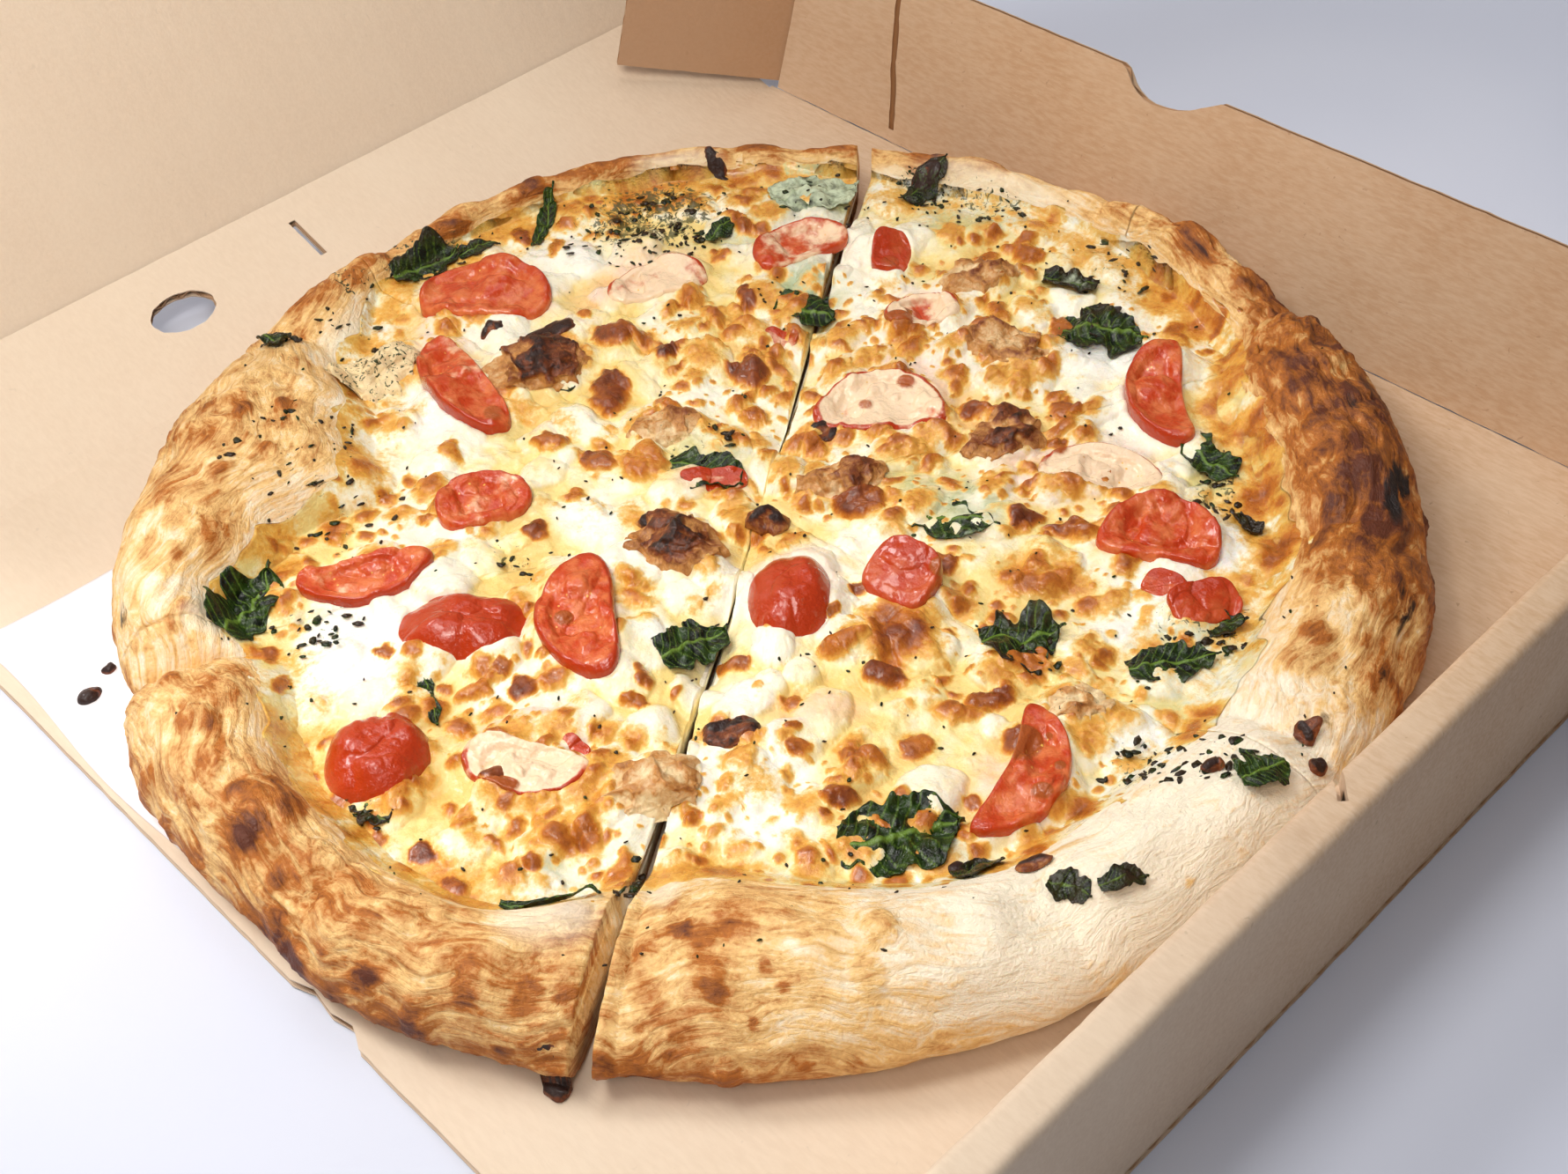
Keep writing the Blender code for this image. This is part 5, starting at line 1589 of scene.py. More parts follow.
@dataclass(frozen=True)
class HerbFlakes:
    """Dried and scorched herb flakes, thick on some places and strewn thinly over the rest."""

    name: str = "herb_flakes"
    thick: int = 58
    thin: int = 520
    seed: int = 11

    def places(self) -> list[tuple[float, float, float]]:
        """Return the plan place and the size of each flake."""
        chance = np.random.default_rng(self.seed)
        found = []
        for zone in HERB_ZONES:
            for _ in range(int(self.thick * zone.strength * zone.ratio * (zone.width / 92.0) ** 2)):
                turn, out = chance.uniform(0.0, math.tau), math.sqrt(chance.uniform(0.0, 1.0))
                across = zone.across + 0.5 * zone.width * out * math.cos(turn)
                down = zone.down + 0.5 * zone.width * zone.ratio * out * math.sin(turn)
                found.append((*VIEW.on_level(across, down, 18.0), chance.uniform(0.6, 1.9)))
        for _ in range(self.thin):
            turn, out = chance.uniform(0.0, math.tau), 160.0 * math.sqrt(chance.uniform(0.0, 1.0))
            found.append((out * math.cos(turn), out * math.sin(turn), chance.uniform(0.35, 0.9)))
        return found

    def make(self, material: bpy.types.Material) -> bpy.types.Object:
        """Build the flakes as small curled blades.

        Args:
            material: The flakes' finish.

        Returns:
            The finished piece.
        """
        places = self.places()
        chance = np.random.default_rng(self.seed + 1)
        deselect()
        bpy.ops.mesh.primitive_ico_sphere_add(subdivisions=1, radius=1.0)
        seed_flake = bpy.context.object
        shape = coords(seed_flake)
        faces = [tuple(face.vertices) for face in seed_flake.data.polygons]
        x, y = np.array([p[0] for p in places]), np.array([p[1] for p in places])
        dough, flat = FORM.heights(x, y)
        rise, _ = BLANKET.relief(x, y)
        inner = FORM.inner(np.degrees(np.arctan2(y, x)) % 360.0)
        level = np.where(np.hypot(x, y) < inner, flat + rise, dough) + 0.35
        rows = []
        for (px, py, size), height in zip(places, level):
            spin = Matrix.Rotation(chance.uniform(0.0, math.tau), 3, "Z")
            turn = spin @ Matrix.Rotation(chance.uniform(-0.5, 0.5), 3, "X")
            stretched = shape * np.array((size, size * chance.uniform(0.35, 0.8), 0.28))
            stretched = stretched * (1.0 + 0.25 * chance.uniform(-1.0, 1.0, stretched.shape))
            rows.append(stretched @ np.array(turn).T + np.array((px, py, height)))
        mesh = seed_flake.data
        mesh.clear_geometry()
        corners = len(shape)
        every = [tuple(index + corners * number for index in face) for number in range(len(rows)) for face in faces]
        mesh.from_pydata(np.concatenate(rows).tolist(), [], every)
        paint(seed_flake, "vein", np.zeros(corners * len(rows)))
        paint(seed_flake, "dry", np.repeat(chance.uniform(0.2, 0.9, len(rows)), corners))
        paint(seed_flake, "film", np.zeros(corners * len(rows)))
        return finish_piece(seed_flake, self.name, material, Body.TRAY, Slot.SPINACH)


CRESCENT, ROUND, DOME, CHUNK = TomatoCut
TOMATOES = [
    TomatoPiece(f"tomato_slice_{n + 1:02d}", cut, Spot(*spot), film, side, tilt, (f"tomato_{n + 1:02d}",))
    for n, (cut, spot, film, side, tilt) in enumerate((
        (CRESCENT, (7, 125, 40, 26, 5.5, -45, 3), 0.12, 1, 1.4),
        (CRESCENT, (-23, 96, 44, 17, 6, -103, -3), 0.2, -1, 0.8),
        (CRESCENT, (46, 91, 30, 15, 4, -24, 2), 0.55, 1, 0.6), (CRESCENT, (87, 72, 30, 17, 4.5, -14, 3), 0.3, 1, 1.2),
        (CHUNK, (104, 50, 18, 12, 4.5, 36, 0), 0.2, 1, 0.0), (CRESCENT, (86, 21, 22, 14, 4, -25, 2), 0.4, 1, 1.0),
        (ROUND, (47, 0, 36, 24, 4.5, -50, 5), 0.62, 1, 0.6),
        (CRESCENT, (106, -55, 42, 16, 5.5, -137, -6), 0.05, -1, 0.8),
        (CRESCENT, (67, -60, 34, 18, 4.5, -60, 3), 0.7, 1, 0.6),
        (CRESCENT, (55, -89, 31, 21, 5.5, -62, 5), 0.05, 1, 1.0), (CHUNK, (46, -110, 18, 12, 5, -26, 0), 0.2, 1, 0.0),
        (CRESCENT, (-52, 51, 26, 17, 5.5, -24, 2), 0.2, 1, 1.2),
        (CRESCENT, (-89, 53, 36, 14, 5.5, -32, -3), 0.15, -1, -1.0),
        (DOME, (-83, 20, 33, 22, 7, -42, 0), 0.25, 1, 0.0), (ROUND, (-59, -3, 42, 20, 5.5, -125, -5), 0.12, -1, -0.8),
        (DOME, (-21, -33, 28, 22, 8.5, -137, 0), 0.4, 1, 0.0), (CHUNK, (2, -50, 19, 16, 9, -80, 0), 0.0, 1, 0.8),
        (DOME, (-124, 0, 25, 26, 9, -40, 0), 0.05, 1, 0.0),
        (CRESCENT, (-101, -27, 32, 15, 4.5, -60, -3), 0.6, -1, -0.6),
        (CRESCENT, (-27, -110, 39, 14, 5.5, -158, 7), 0.05, -1, 1.0)))]
LEAVES = [
    SpinachLeaf(f"spinach_leaf_{n + 1:02d}", Spot(*spot), film, dry, 1.0, (f"spinach_{n + 1:02d}",))
    for n, (spot, film, dry) in enumerate((
        ((-57, -105, 29, 19, 2.6, -30), 0.0, 0.0), ((-47, -26, 20, 14, 2.4, -10), 0.0, 0.1),
        ((113, 91, 28, 18, 2, -26), 0.75, 0.1), ((68, 50, 19, 13, 1.8, -70), 0.3, 0.3),
        ((27, -43, 26, 13, 2, -66), 0.35, 0.1), ((116, -22, 26, 18, 2.6, -60), 0.1, 0.5),
        ((9, -84, 20, 18, 2.6, -38), 0.1, 0.55), ((-116, 65, 25, 15, 2.6, 30), 0.05, 0.1),
        ((26, -116, 22, 11, 1.8, -40), 0.2, 0.5), ((2, -157, 13, 10, 1.6, -13), 0.0, 0.2),
        ((-2, 18, 22, 12, 2, -71), 0.3, 0.4)))]
CHICKEN = [
    ChickenPiece(f"chicken_lump_{n + 1:02d}", Spot(*spot), bake, herb, (f"chicken_{n + 1:02d}",))
    for n, (spot, bake, herb) in enumerate((
        ((-4, 88, 30, 19, 6, -17), 0.45, 0.1), ((114, 23, 21, 14, 5, -37), 0.3, 0.2),
        ((93, -6, 26, 14, 5.5, -79), 0.35, 0.1), ((61, -31, 20, 16, 5, 2), 0.4, 0.1),
        ((3, 39, 18, 13, 4.5, -36), 0.3, 0.4), ((19, -12, 20, 13, 6, -30), 0.35, 0.1),
        ((-27, 3, 22, 16, 6.5, -63), 0.45, 0.1), ((-85, -54, 21, 15, 4.5, -23), 0.15, 0.1),
        ((0, -108, 15, 12, 4.5, -35), 0.2, 0.5), ((-37, 119, 22, 17, 6, 10), -0.2, 0.8)))]


def seen_spot(start: tuple[float, float], end: tuple[float, float], width: float, height: float,
              level: float = 14.0) -> Spot:
    """Return the place of a piece whose two ends are known in the picture.

    Args:
        start: The pixel across and down of one end.
        end: The pixel of the other end.
        width: Its width in millimetres.
        height: Its height in millimetres.
        level: The height above the table that it lies at.

    Returns:
        The place.
    """
    a, b = VIEW.on_level(*start, level), VIEW.on_level(*end, level)
    heading = math.degrees(math.atan2(b[1] - a[1], b[0] - a[0]))
    return Spot((a[0] + b[0]) / 2.0, (a[1] + b[1]) / 2.0, math.dist(a, b), width, height, heading)


EXTRA_TOMATOES = [
    TomatoPiece(f"tomato_scrap_{n + 1}", CHUNK, seen_spot(start, end, width, height), film)
    for n, (start, end, width, height, film) in enumerate((
        ((775, 552), (850, 545), 7.0, 2.6, 0.35), ((1300, 660), (1345, 680), 8.0, 3.0, 0.1),
        ((640, 845), (668, 862), 5.0, 2.2, 0.1), ((870, 380), (905, 392), 6.0, 2.0, 0.5)))]
EXTRA_LEAVES = [
    SpinachLeaf(f"spinach_scrap_{n + 1:02d}", seen_spot(start, end, width, height, level), film, dry)
    for n, (start, end, width, height, level, film, dry) in enumerate((
        ((603, 248), (625, 196), 5.0, 1.6, 24.0, 0.0, 0.1), ((478, 775), (500, 822), 4.0, 1.6, 14.0, 0.0, 0.0),
        ((565, 1012), (690, 1030), 3.5, 1.4, 18.0, 0.2, 0.1), ((1345, 505), (1402, 548), 10.0, 2.0, 14.0, 0.2, 0.3),
        ((445, 300), (520, 268), 11.0, 1.2, 20.0, 0.0, 0.6), ((520, 275), (562, 258), 7.0, 1.1, 20.0, 0.0, 0.6),
        ((1082, 992), (1138, 962), 8.0, 1.1, 20.0, 0.0, 0.7), ((1190, 1010), (1240, 1028), 6.0, 0.8, 24.0, 0.0, 0.7),
        ((1245, 1018), (1302, 1002), 5.0, 0.8, 24.0, 0.0, 0.7), ((1025, 212), (1075, 190), 8.0, 1.2, 20.0, 0.0, 0.7),
        ((805, 275), (832, 250), 6.0, 1.6, 16.0, 0.2, 0.1), ((300, 385), (330, 402), 7.0, 1.8, 24.0, 0.0, 0.6),
        ((540, 455), (655, 440), 4.0, 1.4, 14.0, 0.3, 0.4), ((1405, 590), (1432, 612), 5.0, 2.0, 14.0, 0.0, 0.8),
        ((1185, 320), (1250, 330), 10.0, 2.6, 14.0, 0.4, 0.7), ((1345, 700), (1412, 706), 8.0, 2.0, 15.0, 0.2, 0.6),
        ((1240, 350), (1268, 392), 10.0, 1.8, 14.0, 0.0, 0.75), ((405, 905), (440, 935), 8.0, 2.0, 16.0, 0.1, 0.7)))]
BURNT_BITS = [
    ChickenPiece(f"burnt_bit_{n + 1:02d}", seen_spot(start, end, width, height, level), bake, 0.0)
    for n, (start, end, width, height, level, bake) in enumerate((
        ((800, 154), (826, 162), 4.0, 1.6, 27.0, 0.8), ((92, 795), (112, 782), 3.6, 1.5, 4.0, 0.95),
        ((118, 762), (132, 756), 2.6, 1.3, 4.0, 0.9), ((805, 835), (860, 828), 8.0, 2.2, 14.0, 0.78),
        ((852, 600), (895, 590), 8.0, 4.2, 14.0, 0.72), ((1040, 205), (1065, 198), 5.0, 1.8, 18.0, 0.9),
        ((700, 915), (722, 912), 4.0, 1.2, 14.0, 0.8), ((1080, 968), (1105, 975), 4.0, 1.3, 20.0, 0.85),
        ((1150, 990), (1190, 985), 4.0, 1.3, 22.0, 0.7), ((548, 380), (575, 372), 6.0, 2.6, 14.0, 0.75),
        ((596, 395), (650, 372), 9.0, 3.0, 14.0, 0.65), ((925, 492), (955, 488), 6.0, 3.0, 14.0, 0.72),
        ((728, 590), (750, 600), 6.0, 3.2, 14.0, 0.65), ((1475, 828), (1500, 815), 4.0, 1.2, 26.0, 0.8),
        ((1365, 890), (1385, 880), 3.6, 1.1, 22.0, 0.8), ((1490, 868), (1505, 862), 3.2, 1.2, 24.0, 0.8),
        ((620, 1222), (645, 1240), 3.6, 1.5, 5.0, 0.9)))]


# The box


def box_frame(origin: tuple[float, float, float], axis: str, degrees: float) -> Matrix:
    """Return the frame of a panel from its origin and its slope."""
    return Matrix.Translation(Vector(origin)) @ Matrix.Rotation(math.radians(degrees), 4, axis)


def torn_outline(corners: list[tuple[float, float]], step: float, jitter: float, seed: int) -> np.ndarray:
    """Return an outline with many points, each a little off the straight cut.

    Args:
        corners: The corners of the outline, in order.
        step: The spacing of the points in millimetres.
        jitter: How far a point strays in millimetres.
        seed: Which pattern.

    Returns:
        The points, two numbers each.
    """
    rows = []
    for start, end in zip(corners, corners[1:] + corners[:1]):
        a, b = np.array(start, dtype=float), np.array(end, dtype=float)
        length = float(np.linalg.norm(b - a))
        count = max(int(length / step), 1)
        normal = np.array((b[1] - a[1], a[0] - b[0])) / max(length, 1e-6)
        for index in range(count):
            spot = a + (b - a) * index / count
            stray = 0.0 if index == 0 else float(lumps(np.array([(spot[0], spot[1], seed * 7.0)]), 5.0, seed, 3)[0])
            rows.append(spot + normal * jitter * stray)
    return np.array(rows)


def plate(name: str, outline: np.ndarray, low: float, high: float) -> bpy.types.Object:
    """Make a flat plate: an n-gon laid on the outline and extruded.

    Args:
        name: The object's name.
        outline: Its outline, two numbers for each point.
        low: The height of its underside.
        high: The height of its top.

    Returns:
        The new object.
    """
    deselect()
    bpy.ops.mesh.primitive_circle_add(vertices=len(outline), radius=1.0, fill_type="NGON")
    piece = bpy.context.object
    piece.name = name
    place(piece, np.column_stack((outline, np.full(len(outline), low))))
    bpy.ops.object.mode_set(mode="EDIT")
    bpy.ops.mesh.select_all(action="SELECT")
    bpy.ops.mesh.extrude_region_move(TRANSFORM_OT_translate={"value": (0.0, 0.0, high - low)})
    bpy.ops.mesh.select_all(action="SELECT")
    bpy.ops.mesh.normals_make_consistent(inside=False)
    bpy.ops.object.mode_set(mode="OBJECT")
    return piece


def join(pieces: list[bpy.types.Object]) -> bpy.types.Object:
    """Join objects into the first of them."""
    deselect()
    for piece in pieces:
        piece.select_set(True)
    bpy.context.view_layer.objects.active = pieces[0]
    bpy.ops.object.join()
    return pieces[0]


def carve(piece: bpy.types.Object, other: bpy.types.Object, operation: str = "DIFFERENCE") -> None:
    """Cut an object with a closed one, or keep what both share."""
    modifier = piece.modifiers.new("cut", "BOOLEAN")
    modifier.operation = operation
    modifier.solver = "EXACT"
    modifier.object = other
    apply_modifiers(piece)


def remove(piece: bpy.types.Object) -> None:
    """Remove a helper object."""
    bpy.data.objects.remove(piece, do_unlink=True)


@dataclass
class BoardPanel:
    """A panel of corrugated board: two liners and the fluted medium between them.

    The outline lies in the panel's own X and Y, and the board's thickness is its own Z.
    """

    name: str
    node: str
    body: Body
    outline: list[tuple[float, float]]
    frame: Matrix
    low: float = 0.0
    thickness: float = 3.0
    liner: float = 0.42
    flute: float = FLUTE
    flute_along_x: bool = False
    jitter: float = 0.22
    holes: list[np.ndarray] = field(default_factory=list)
    # Painted shade: how far the whole panel is darkened towards the medium's brown, for a panel that faces away from
    # the lamps.
    tone: float = 0.0
    seed: int = 1

    def medium(self) -> bpy.types.Object:
        """Return the fluted medium over the whole outline."""
        xs, ys = [c[0] for c in self.outline], [c[1] for c in self.outline]
        long = 0 if self.flute_along_x else 1
        spans = ((min(xs) - 1.0, max(xs) + 1.0), (min(ys) - 1.0, max(ys) + 1.0))
        wave_low, wave_high = spans[1 - long]
        count = int((wave_high - wave_low) / self.flute * 10)
        wave = np.linspace(wave_low, wave_high, count)
        rise = np.sin(wave / self.flute * math.tau) * (self.thickness / 2.0 - self.liner - 0.05)
        points = np.zeros((2, count, 3))
        points[..., 1 - long] = wave
        points[0, :, long], points[1, :, long] = spans[long]
        points[..., 2] = self.low + self.thickness / 2.0 + rise
        sheet = grid_piece(f"{self.name}_medium", points, False, {})
        solid = sheet.modifiers.new("medium", "SOLIDIFY")
        solid.thickness = 0.34
        solid.offset = 0.0
        apply_modifiers(sheet)
        return sheet

    def make(self, material: bpy.types.Material) -> bpy.types.Object:
        """Build the panel.

        Args:
            material: The board's finish.

        Returns:
            The finished piece.
        """
        outline = torn_outline(self.outline, 2.2, self.jitter, self.seed)
        top = self.low + self.thickness
        lower = plate(f"{self.name}_lower", outline, self.low, self.low + self.liner)
        upper = plate(f"{self.name}_upper", outline, top - self.liner, top)
        medium = self.medium()
        shape = plate("shape", outline * 0.9992, self.low - 1.0, top + 1.0)
        carve(medium, shape, "INTERSECT")
        remove(shape)
        for hole in self.holes:
            cutter = plate("hole", hole, self.low - 2.0, top + 2.0)
            for layer in (lower, upper, medium):
                carve(layer, cutter)
            remove(cutter)
        for layer, value in ((lower, 0.25), (upper, 0.0), (medium, 0.75)):
            # The tone lays painted shade over each layer's own share of the medium's brown.
            paint(layer, "inner", np.full(len(layer.data.vertices), value + self.tone))
            paint(layer, "soil", np.zeros(len(layer.data.vertices)))
        piece = join([lower, upper, medium])
        points = coords(piece)
        turned = points @ np.array(self.frame.to_3x3()).T + np.array(self.frame.translation)
        place(piece, turned)
        finished = finish_piece(piece, self.name, material, self.body, Slot.BOARD, self.node)
        sharpen(finished, 30.0)
        return finished


def oval(middle: tuple[float, float], size: tuple[float, float], count: int = 48) -> np.ndarray:
    """Return an oval's points, a little uneven as a punched hole in board is."""
    turn = np.linspace(0.0, math.tau, count, endpoint=False)
    uneven = 1.0 + 0.012 * np.sin(turn * 9.0) + 0.01 * np.sin(turn * 14.0 + 1.0)
    return np.column_stack((middle[0] + size[0] / 2.0 * np.cos(turn) * uneven,
                            middle[1] + size[1] / 2.0 * np.sin(turn) * uneven))


def rectangle(middle: tuple[float, float], size: tuple[float, float], turn: float = 0.0) -> np.ndarray:
    """Return a rectangle's corners, turned by an angle in degrees."""
    half = np.array(size) / 2.0
    corners = np.array(((-1, -1), (1, -1), (1, 1), (-1, 1))) * half
    angle = math.radians(turn)
    spin = np.array(((math.cos(angle), math.sin(angle)), (-math.sin(angle), math.cos(angle))))
    return corners @ spin + np.array(middle)


@dataclass
class PizzaBox:
    """The opened box: floor, leaning side wall, rolled front wall, dropped rear wall, lid and corner flap."""

    board: float = 3.0
    left: float = -171.0
    right: float = 164.0
    front: float = -188.0
    floor_rear: float = 164.5
    wall: float = 53.7
    lean: float = 20.0
    rear_slope: float = 16.65
    rear_fold: tuple[float, float] = (166.22, 1.5)
    lid_fold: tuple[float, float] = (218.52, 17.14)
    lid_lean: float = 65.0
    lid_depth: float = 348.5
    lid_flap: float = 42.0
    lid_flap_turn: float = 68.0
    flap_turn: float = 54.0
    flap_hinge: float = 163.6
    crease: float = 0.3
    roll_columns: int = 170
    lid_left: float = -172.0
    lid_right: float = 161.0
    flap_start: float = 66.0
    notch: tuple[tuple[float, float], ...] = (
        (28.0, 0.0), (25.8, 0.9), (24.5, 2.2), (22.3, 4.6), (20.0, 6.2), (17.0, 7.5), (14.0, 8.0), (10.0, 7.8),
        (6.0, 7.2), (2.0, 5.9), (-1.0, 4.4), (-5.0, 2.2), (-9.0, 0.0))

    def upright(self, origin: tuple[float, float, float], *turns: Matrix) -> Matrix:
        """Return the frame of a standing panel, whose X runs along the wall and whose Z is its thickness."""
        swap = Matrix(((0, 0, 1, 0), (1, 0, 0, 0), (0, 1, 0, 0), (0, 0, 0, 1)))
        frame_matrix = Matrix.Translation(Vector(origin))
        for turn in turns:
            frame_matrix = frame_matrix @ turn
        return frame_matrix @ swap

    def panels(self) -> list[BoardPanel]:
        """Return the flat panels."""
        lean = Matrix.Rotation(math.radians(self.lean), 4, "Y")
        rear_end = self.flap_hinge - self.board / 2.0 - self.crease
        front_end = self.front + 10.5
        wall = [(rear_end, 0.0), (rear_end, self.wall), *[(y, self.wall - drop) for y, drop in self.notch],
                (front_end, self.wall), (front_end, 0.0)]
        wall = wall[::-1]
        rear_length = math.dist(self.rear_fold, self.lid_fold) - self.board / 2.0 - self.crease
        rear_frame = box_frame((0.0, *self.rear_fold), "X", self.rear_slope)
        lid_frame = box_frame((0.0, *self.lid_fold), "X", self.lid_lean)
        hinge = lean @ Vector((self.board / 2.0, 0.0, 0.0))
        flap_place = Vector((self.right, self.flap_hinge, self.board + self.crease)) + hinge
        floor = [(self.left, self.front), (self.right, self.front), (self.right, self.floor_rear),
                 (self.left, self.floor_rear), (self.left, -27.0), (self.left + 2.2, -33.0), (self.left + 1.2, -41.0),
                 (self.left + 2.6, -47.0), (self.left, -53.0)]
        half = self.board / 2.0
        panels = [
            BoardPanel("floor_panel", "tray_floor", Body.TRAY, floor, Matrix.Identity(4), seed=3),
            BoardPanel("side_wall_panel", "side_wall", Body.TRAY, wall,
                       self.upright((self.right, 0.0, self.board + self.crease), lean), flute_along_x=True, seed=5),
            BoardPanel("rear_wall_panel", "rear_wall", Body.REAR_WALL,
                       [(self.left, -half), (self.right - 1.0, -half), (self.right - 1.0, rear_length),
                        (self.left, rear_length)], rear_frame, low=-half,
                       holes=[oval((-56.0, 31.0), (21.0, 14.5)), rectangle((-8.0, 34.0), (2.4, 17.0))], seed=7),
            BoardPanel("lid_panel", "lid", Body.LID,
                       [(self.lid_left, -half), (self.lid_right, -half), (self.lid_right, self.lid_depth),
                        (self.lid_left, self.lid_depth)],
                       lid_frame, low=-half, seed=9),
            # The corner flap is darkened with painted shade through its tone, as it faces away from the light.
            BoardPanel("corner_flap_panel", "corner_flap", Body.CORNER_FLAP,
                       [(-half, 2.4), (57.0, -0.6), (57.0, 51.0), (-half, 51.0)],
                       self.upright(tuple(flap_place), lean, Matrix.Rotation(math.radians(self.flap_turn), 4, "Z")),
                       low=-half, flute_along_x=True, tone=0.45, seed=11),
        ]
        return panels + self.lid_flaps(lid_frame)

    def lid_flaps(self, lid_frame: Matrix) -> list[BoardPanel]:
        """Return the lid's two side flaps and its tuck flap."""
        half = self.board / 2.0
        turn = math.radians(self.lid_flap_turn)
        panels = []
        for name, x, out in (("lid_left_flap", self.lid_left, -1.0), ("lid_right_flap", self.lid_right, 1.0)):
            up = Vector((out * math.cos(turn), 0.0, math.sin(turn)))
            along = Vector((0.0, 1.0, 0.0))
            basis = Matrix((along, up, along.cross(up))).transposed().to_4x4()
            length = self.lid_depth - self.flap_start
            outline = [(1.0, 1.2), (length - 1.0, 1.2), (length - 9.0, self.lid_flap), (9.0, self.lid_flap)]
            panels.append(BoardPanel(name, "lid", Body.LID, outline,
                                     lid_frame @ Matrix.Translation(Vector((x, self.flap_start, 0.0))) @ basis,
                                     low=-half, flute_along_x=True, seed=13))
        up = Vector((0.0, math.cos(turn), math.sin(turn)))
        along = Vector((-1.0, 0.0, 0.0))
        basis = Matrix((along, up, along.cross(up))).transposed().to_4x4()
        outline = [(1.0, 1.2), (332.0, 1.2), (324.0, self.lid_flap), (9.0, self.lid_flap)]
        panels.append(BoardPanel("lid_tuck_flap", "lid", Body.LID, outline,
                                 lid_frame @ Matrix.Translation(Vector((self.lid_right, self.lid_depth, 0.0))) @ basis,
                                 low=-half, seed=17))
        return panels

    def torn_crease(self, material: bpy.types.Material) -> bpy.types.Object:
        """Build the brown torn streak that runs down the side wall, a fold where the liner came off.

        Args:
            material: The board's finish.

        Returns:
            The finished piece.
        """
        up = np.linspace(4.0, self.wall - 0.5, 40)
        line = np.stack((up, 0.0 * up, 0.0 * up), axis=-1)
        middle = 108.0 + 0.21 * up + 0.8 * lumps(line, 12.0, 3, 2)
        half = 0.9 + 0.9 * np.abs(lumps(line, 9.0, 5, 3)) * (1.0 - 0.4 * up / self.wall)
        outline = np.concatenate((np.stack((middle - half, up), axis=-1), np.stack((middle + half, up), axis=-1)[::-1]))
        piece = plate("torn_crease", outline, -0.12, 0.1)
        lean = Matrix.Rotation(math.radians(self.lean), 4, "Y")
        frame_matrix = self.upright((self.right, 0.0, self.board + self.crease), lean)
        place(piece, coords(piece) @ np.array(frame_matrix.to_3x3()).T + np.array(frame_matrix.translation))
        paint(piece, "inner", np.full(len(piece.data.vertices), 1.0))
        paint(piece, "soil", np.full(len(piece.data.vertices), 0.55))
        return finish_piece(piece, "torn_crease", material, Body.TRAY, Slot.BOARD)

    def front_wall(self, material: bpy.types.Material) -> bpy.types.Object:
        """Build the wall of one strip of board rolled up, over and down again.

        Args:
            material: The board's finish.

        Returns:
            The finished piece.
        """
        outer, inner, foot, top, half = self.front, self.front + 10.0, 3.3, 53.0, self.board
        outside = [(outer, foot), (outer, 18.0), (outer, 34.0), (outer, 50.6), (outer + 0.35, 52.0),
                   (outer + 1.3, 52.8), (outer + 2.4, top), (outer + 5.0, top - 0.25), (inner - 2.4, top),
                   (inner - 1.2, 52.75), (inner - 0.3, 51.9), (inner, 50.4), (inner, 34.0), (inner, 18.0),
                   (inner, foot)]
        inside = [(inner - half, foot), (inner - half, top - half), (outer + half, top - half), (outer + half, foot)]
        rows = []
        loop = outside + inside + [outside[0]]
        for (y0, z0), (y1, z1) in zip(loop, loop[1:]):
            count = max(int(math.hypot(y1 - y0, z1 - z0) / 2.5), 1)
            rows += [(y0 + (y1 - y0) * k / count, z0 + (z1 - z0) * k / count) for k in range(count)]
        rows.append(loop[0])
        section = np.array(rows)
        share = np.linspace(0.0, 1.0, self.roll_columns)
        end = self.right + (section[:, 1] - self.board) * math.tan(math.radians(self.lean)) - 0.4
        x = self.left + (end[:, None] - self.left) * share[None, :]
        y = np.broadcast_to(section[:, 0][:, None], x.shape)
        z = np.broadcast_to(section[:, 1][:, None], x.shape)
        points = np.stack((x, y, z), axis=-1)
        wave = lumps(points * np.array((1.0, 3.0, 3.0)), 30.0, 3, 3)
        dent = lumps(points, 7.0, 9, 2)
        crest = smooth(46.0, 52.5, z) * (1.0 - smooth(52.6, 53.0, z) * 0.4)
        points[..., 1] += np.clip(0.3 * wave + 0.25 * dent * crest, -0.6, 0.0) * np.sign(y - (outer + 5.0))
        points[..., 2] += np.where(z > 50.0, np.clip(0.35 * wave + 0.25 * dent - 0.3, -0.9, 0.0), 0.0)
        soil = 0.10 * smooth(0.2, 0.8, dent + wave) * crest
        piece = grid_piece("front_wall_roll", points, True, {"inner": 0.0 * x, "soil": soil})
        slit = plate("slit", rectangle((-8.6, -180.0), (10.0, 2.2), 42.0), 47.0, 57.0)
        carve(piece, slit)
        remove(slit)
        hole = plate("thumb", np.array(((-6.5, -5.0), (6.5, -5.0), (4.7, 5.0), (-4.7, 5.0))), -3.4, 3.4)
        spot = coords(hole)
        place(hole, np.column_stack((spot[:, 0] + 8.3, spot[:, 2] - 188.0, spot[:, 1] + 15.4)))
        carve(piece, hole)
        remove(hole)
        finished = finish_piece(piece, "front_wall_roll", material, Body.TRAY, Slot.BOARD, "front_wall")
        sharpen(finished, 40.0)
        return finished

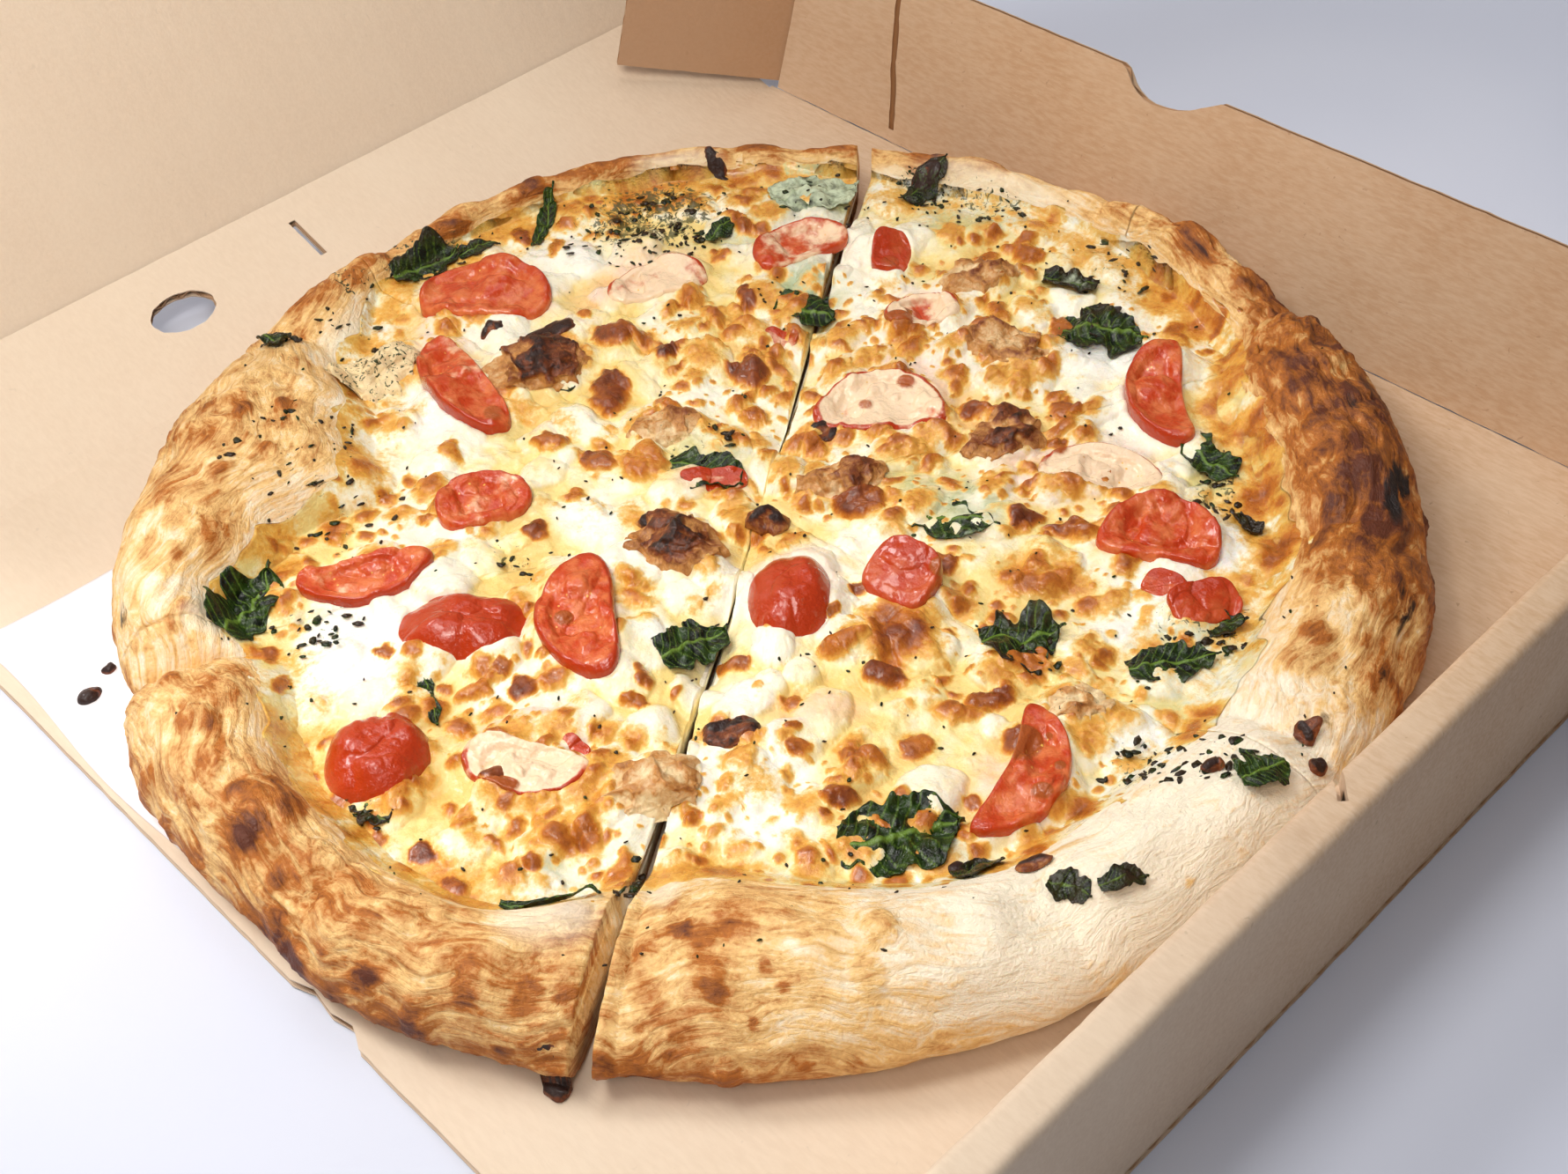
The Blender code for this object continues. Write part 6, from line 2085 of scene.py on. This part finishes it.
    def paper(self, material: bpy.types.Material) -> bpy.types.Object:
        """Build the thin sheet under the crust, its free edges a little wavy.

        Args:
            material: The paper's finish.

        Returns:
            The finished piece.
        """
        x, y = np.meshgrid(np.linspace(-168.5, -60.0, 110), np.linspace(-27.0, 121.0, 150))
        along = (y + 27.0) / 148.0
        across = (x + 168.5) / 108.5
        places = np.stack((x, y, 0.0 * x), axis=-1)
        z = 3.45 + 0.5 * (1.0 - across) ** 2 * np.clip(lumps(places, 34.0, 7, 2), -0.2, 1.0)
        points = np.stack((x + 1.2 * np.sin(9.0 * along) * (1.0 - across), y + 1.6 * np.sin(0.06 * x) * along, z),
                          axis=-1)
        piece = grid_piece("paper_sheet", points, False, {})
        solid = piece.modifiers.new("sheet", "SOLIDIFY")
        solid.thickness = 0.2
        solid.offset = 1.0
        apply_modifiers(piece)
        return finish_piece(piece, "paper_sheet", material, Body.TRAY, Slot.PAPER, "paper")

    def make(self, board: bpy.types.Material, paper: bpy.types.Material) -> None:
        """Build every piece of the box.

        Args:
            board: The board's finish.
            paper: The paper's finish.
        """
        for panel in self.panels():
            panel.make(board)
        self.torn_crease(board)
        self.front_wall(board)
        self.paper(paper)


# The studio and the order of work


@dataclass
class Studio:
    """A pale table, four soft lamps and the camera.

    The key lamp hangs low at the left over the pizza, a narrow one fills the lid, one stands high behind the lid,
    and a wide weak one above stands for the room.
    """

    table: float = 14000.0
    table_gap: float = 0.0006

    def lamp(self, name: str, spot: tuple[float, float, float], aim: tuple[float, float, float], size: float,
             power: float, code: str, spread: float = 180.0) -> None:
        """Add one soft lamp.

        Args:
            name: Its name.
            spot: Where it is, in metres.
            aim: What it points at, in metres.
            size: Its side in metres.
            power: Its power in watts.
            code: Its colour.
            spread: How wide its light spreads, in degrees.
        """
        data = bpy.data.lights.new(name, "AREA")
        data.spread = math.radians(spread)
        data.size = size
        data.energy = power
        data.color = linear(code)[:3]
        lamp = bpy.data.objects.new(name, data)
        lamp.location = spot
        lamp.visible_camera = False
        lamp.rotation_euler = (Vector(aim) - Vector(spot)).to_track_quat("-Z", "Y").to_euler()
        bpy.context.scene.collection.objects.link(lamp)

    def make(self, material: bpy.types.Material) -> None:
        """Lay the table, and set the lights and the camera.

        Args:
            material: The table's finish.
        """
        deselect()
        bpy.ops.mesh.primitive_grid_add(x_subdivisions=8, y_subdivisions=8, size=self.table * MM)
        table = bpy.context.object
        table.name = "table"
        place(table, coords(table) - np.array((0.0, 0.0, self.table_gap)))
        table.data.materials.append(material)
        self.lamp("key", (-0.27, 0.04, 0.60), (0.0, 0.02, 0.0), 0.20, 1.85, "#fffdf8")
        self.lamp("lid fill", (-0.45, -0.35, 0.75), (-0.05, 0.26, 0.12), 0.25, 0.8, "#fffaf2", 70.0)
        self.lamp("back", (-0.55, 1.20, 1.30), (0.0, 0.0, 0.0), 0.42, 14.0, "#ffffff")
        self.lamp("room", (0.60, 0.60, 2.60), (0.0, 0.0, 0.0), 1.40, 14.0, "#fbfcff")
        world = bpy.data.worlds.new("studio")
        world.use_nodes = True
        sky = world.node_tree.nodes["Background"]
        sky.inputs["Color"].default_value = linear("#f3f5fa")
        sky.inputs["Strength"].default_value = 0.20
        bpy.context.scene.world = world
        bpy.context.scene.view_settings.view_transform = "Standard"
        VIEW.set_camera()


def main() -> None:
    """Build the box, the pizza and its toppings, then light them."""
    logging.basicConfig(level=logging.INFO, format="%(name)s: %(message)s")
    board = BoardFinish("kraft_board", 0.78, 1.5).make()
    PizzaBox().make(board, PaperFinish("greaseproof_paper", 0.5, 1.5).make())
    crust = CrustFinish("baked_crust", 0.55, 1.45, 0.12).make()
    cheese = CheeseFinish("melted_cheese", 0.28, 1.45, 0.25, 0.25).make()
    for index in range(FORM.slices):
        DoughSlice(index).make(crust)
        CheeseSlice(index).make(cheese)
    tomato = TomatoFinish("cooked_tomato", 0.2, 1.38, 0.15, 0.4).make()
    leaf = LeafFinish("wilted_spinach", 0.24, 1.38, 0.0, 0.12).make()
    chicken = ChickenFinish("roast_chicken", 0.45, 1.42, 0.12, 0.1).make()
    for pieces, material in ((TOMATOES + EXTRA_TOMATOES, tomato), (LEAVES + EXTRA_LEAVES, leaf),
                             (CHICKEN + BURNT_BITS, chicken)):
        for piece in pieces:
            piece.make(material)
    HerbFlakes().make(leaf)
    Studio().make(TableFinish("pale_table", 0.85, 1.4).make())


if __name__ == "__main__":
    main()
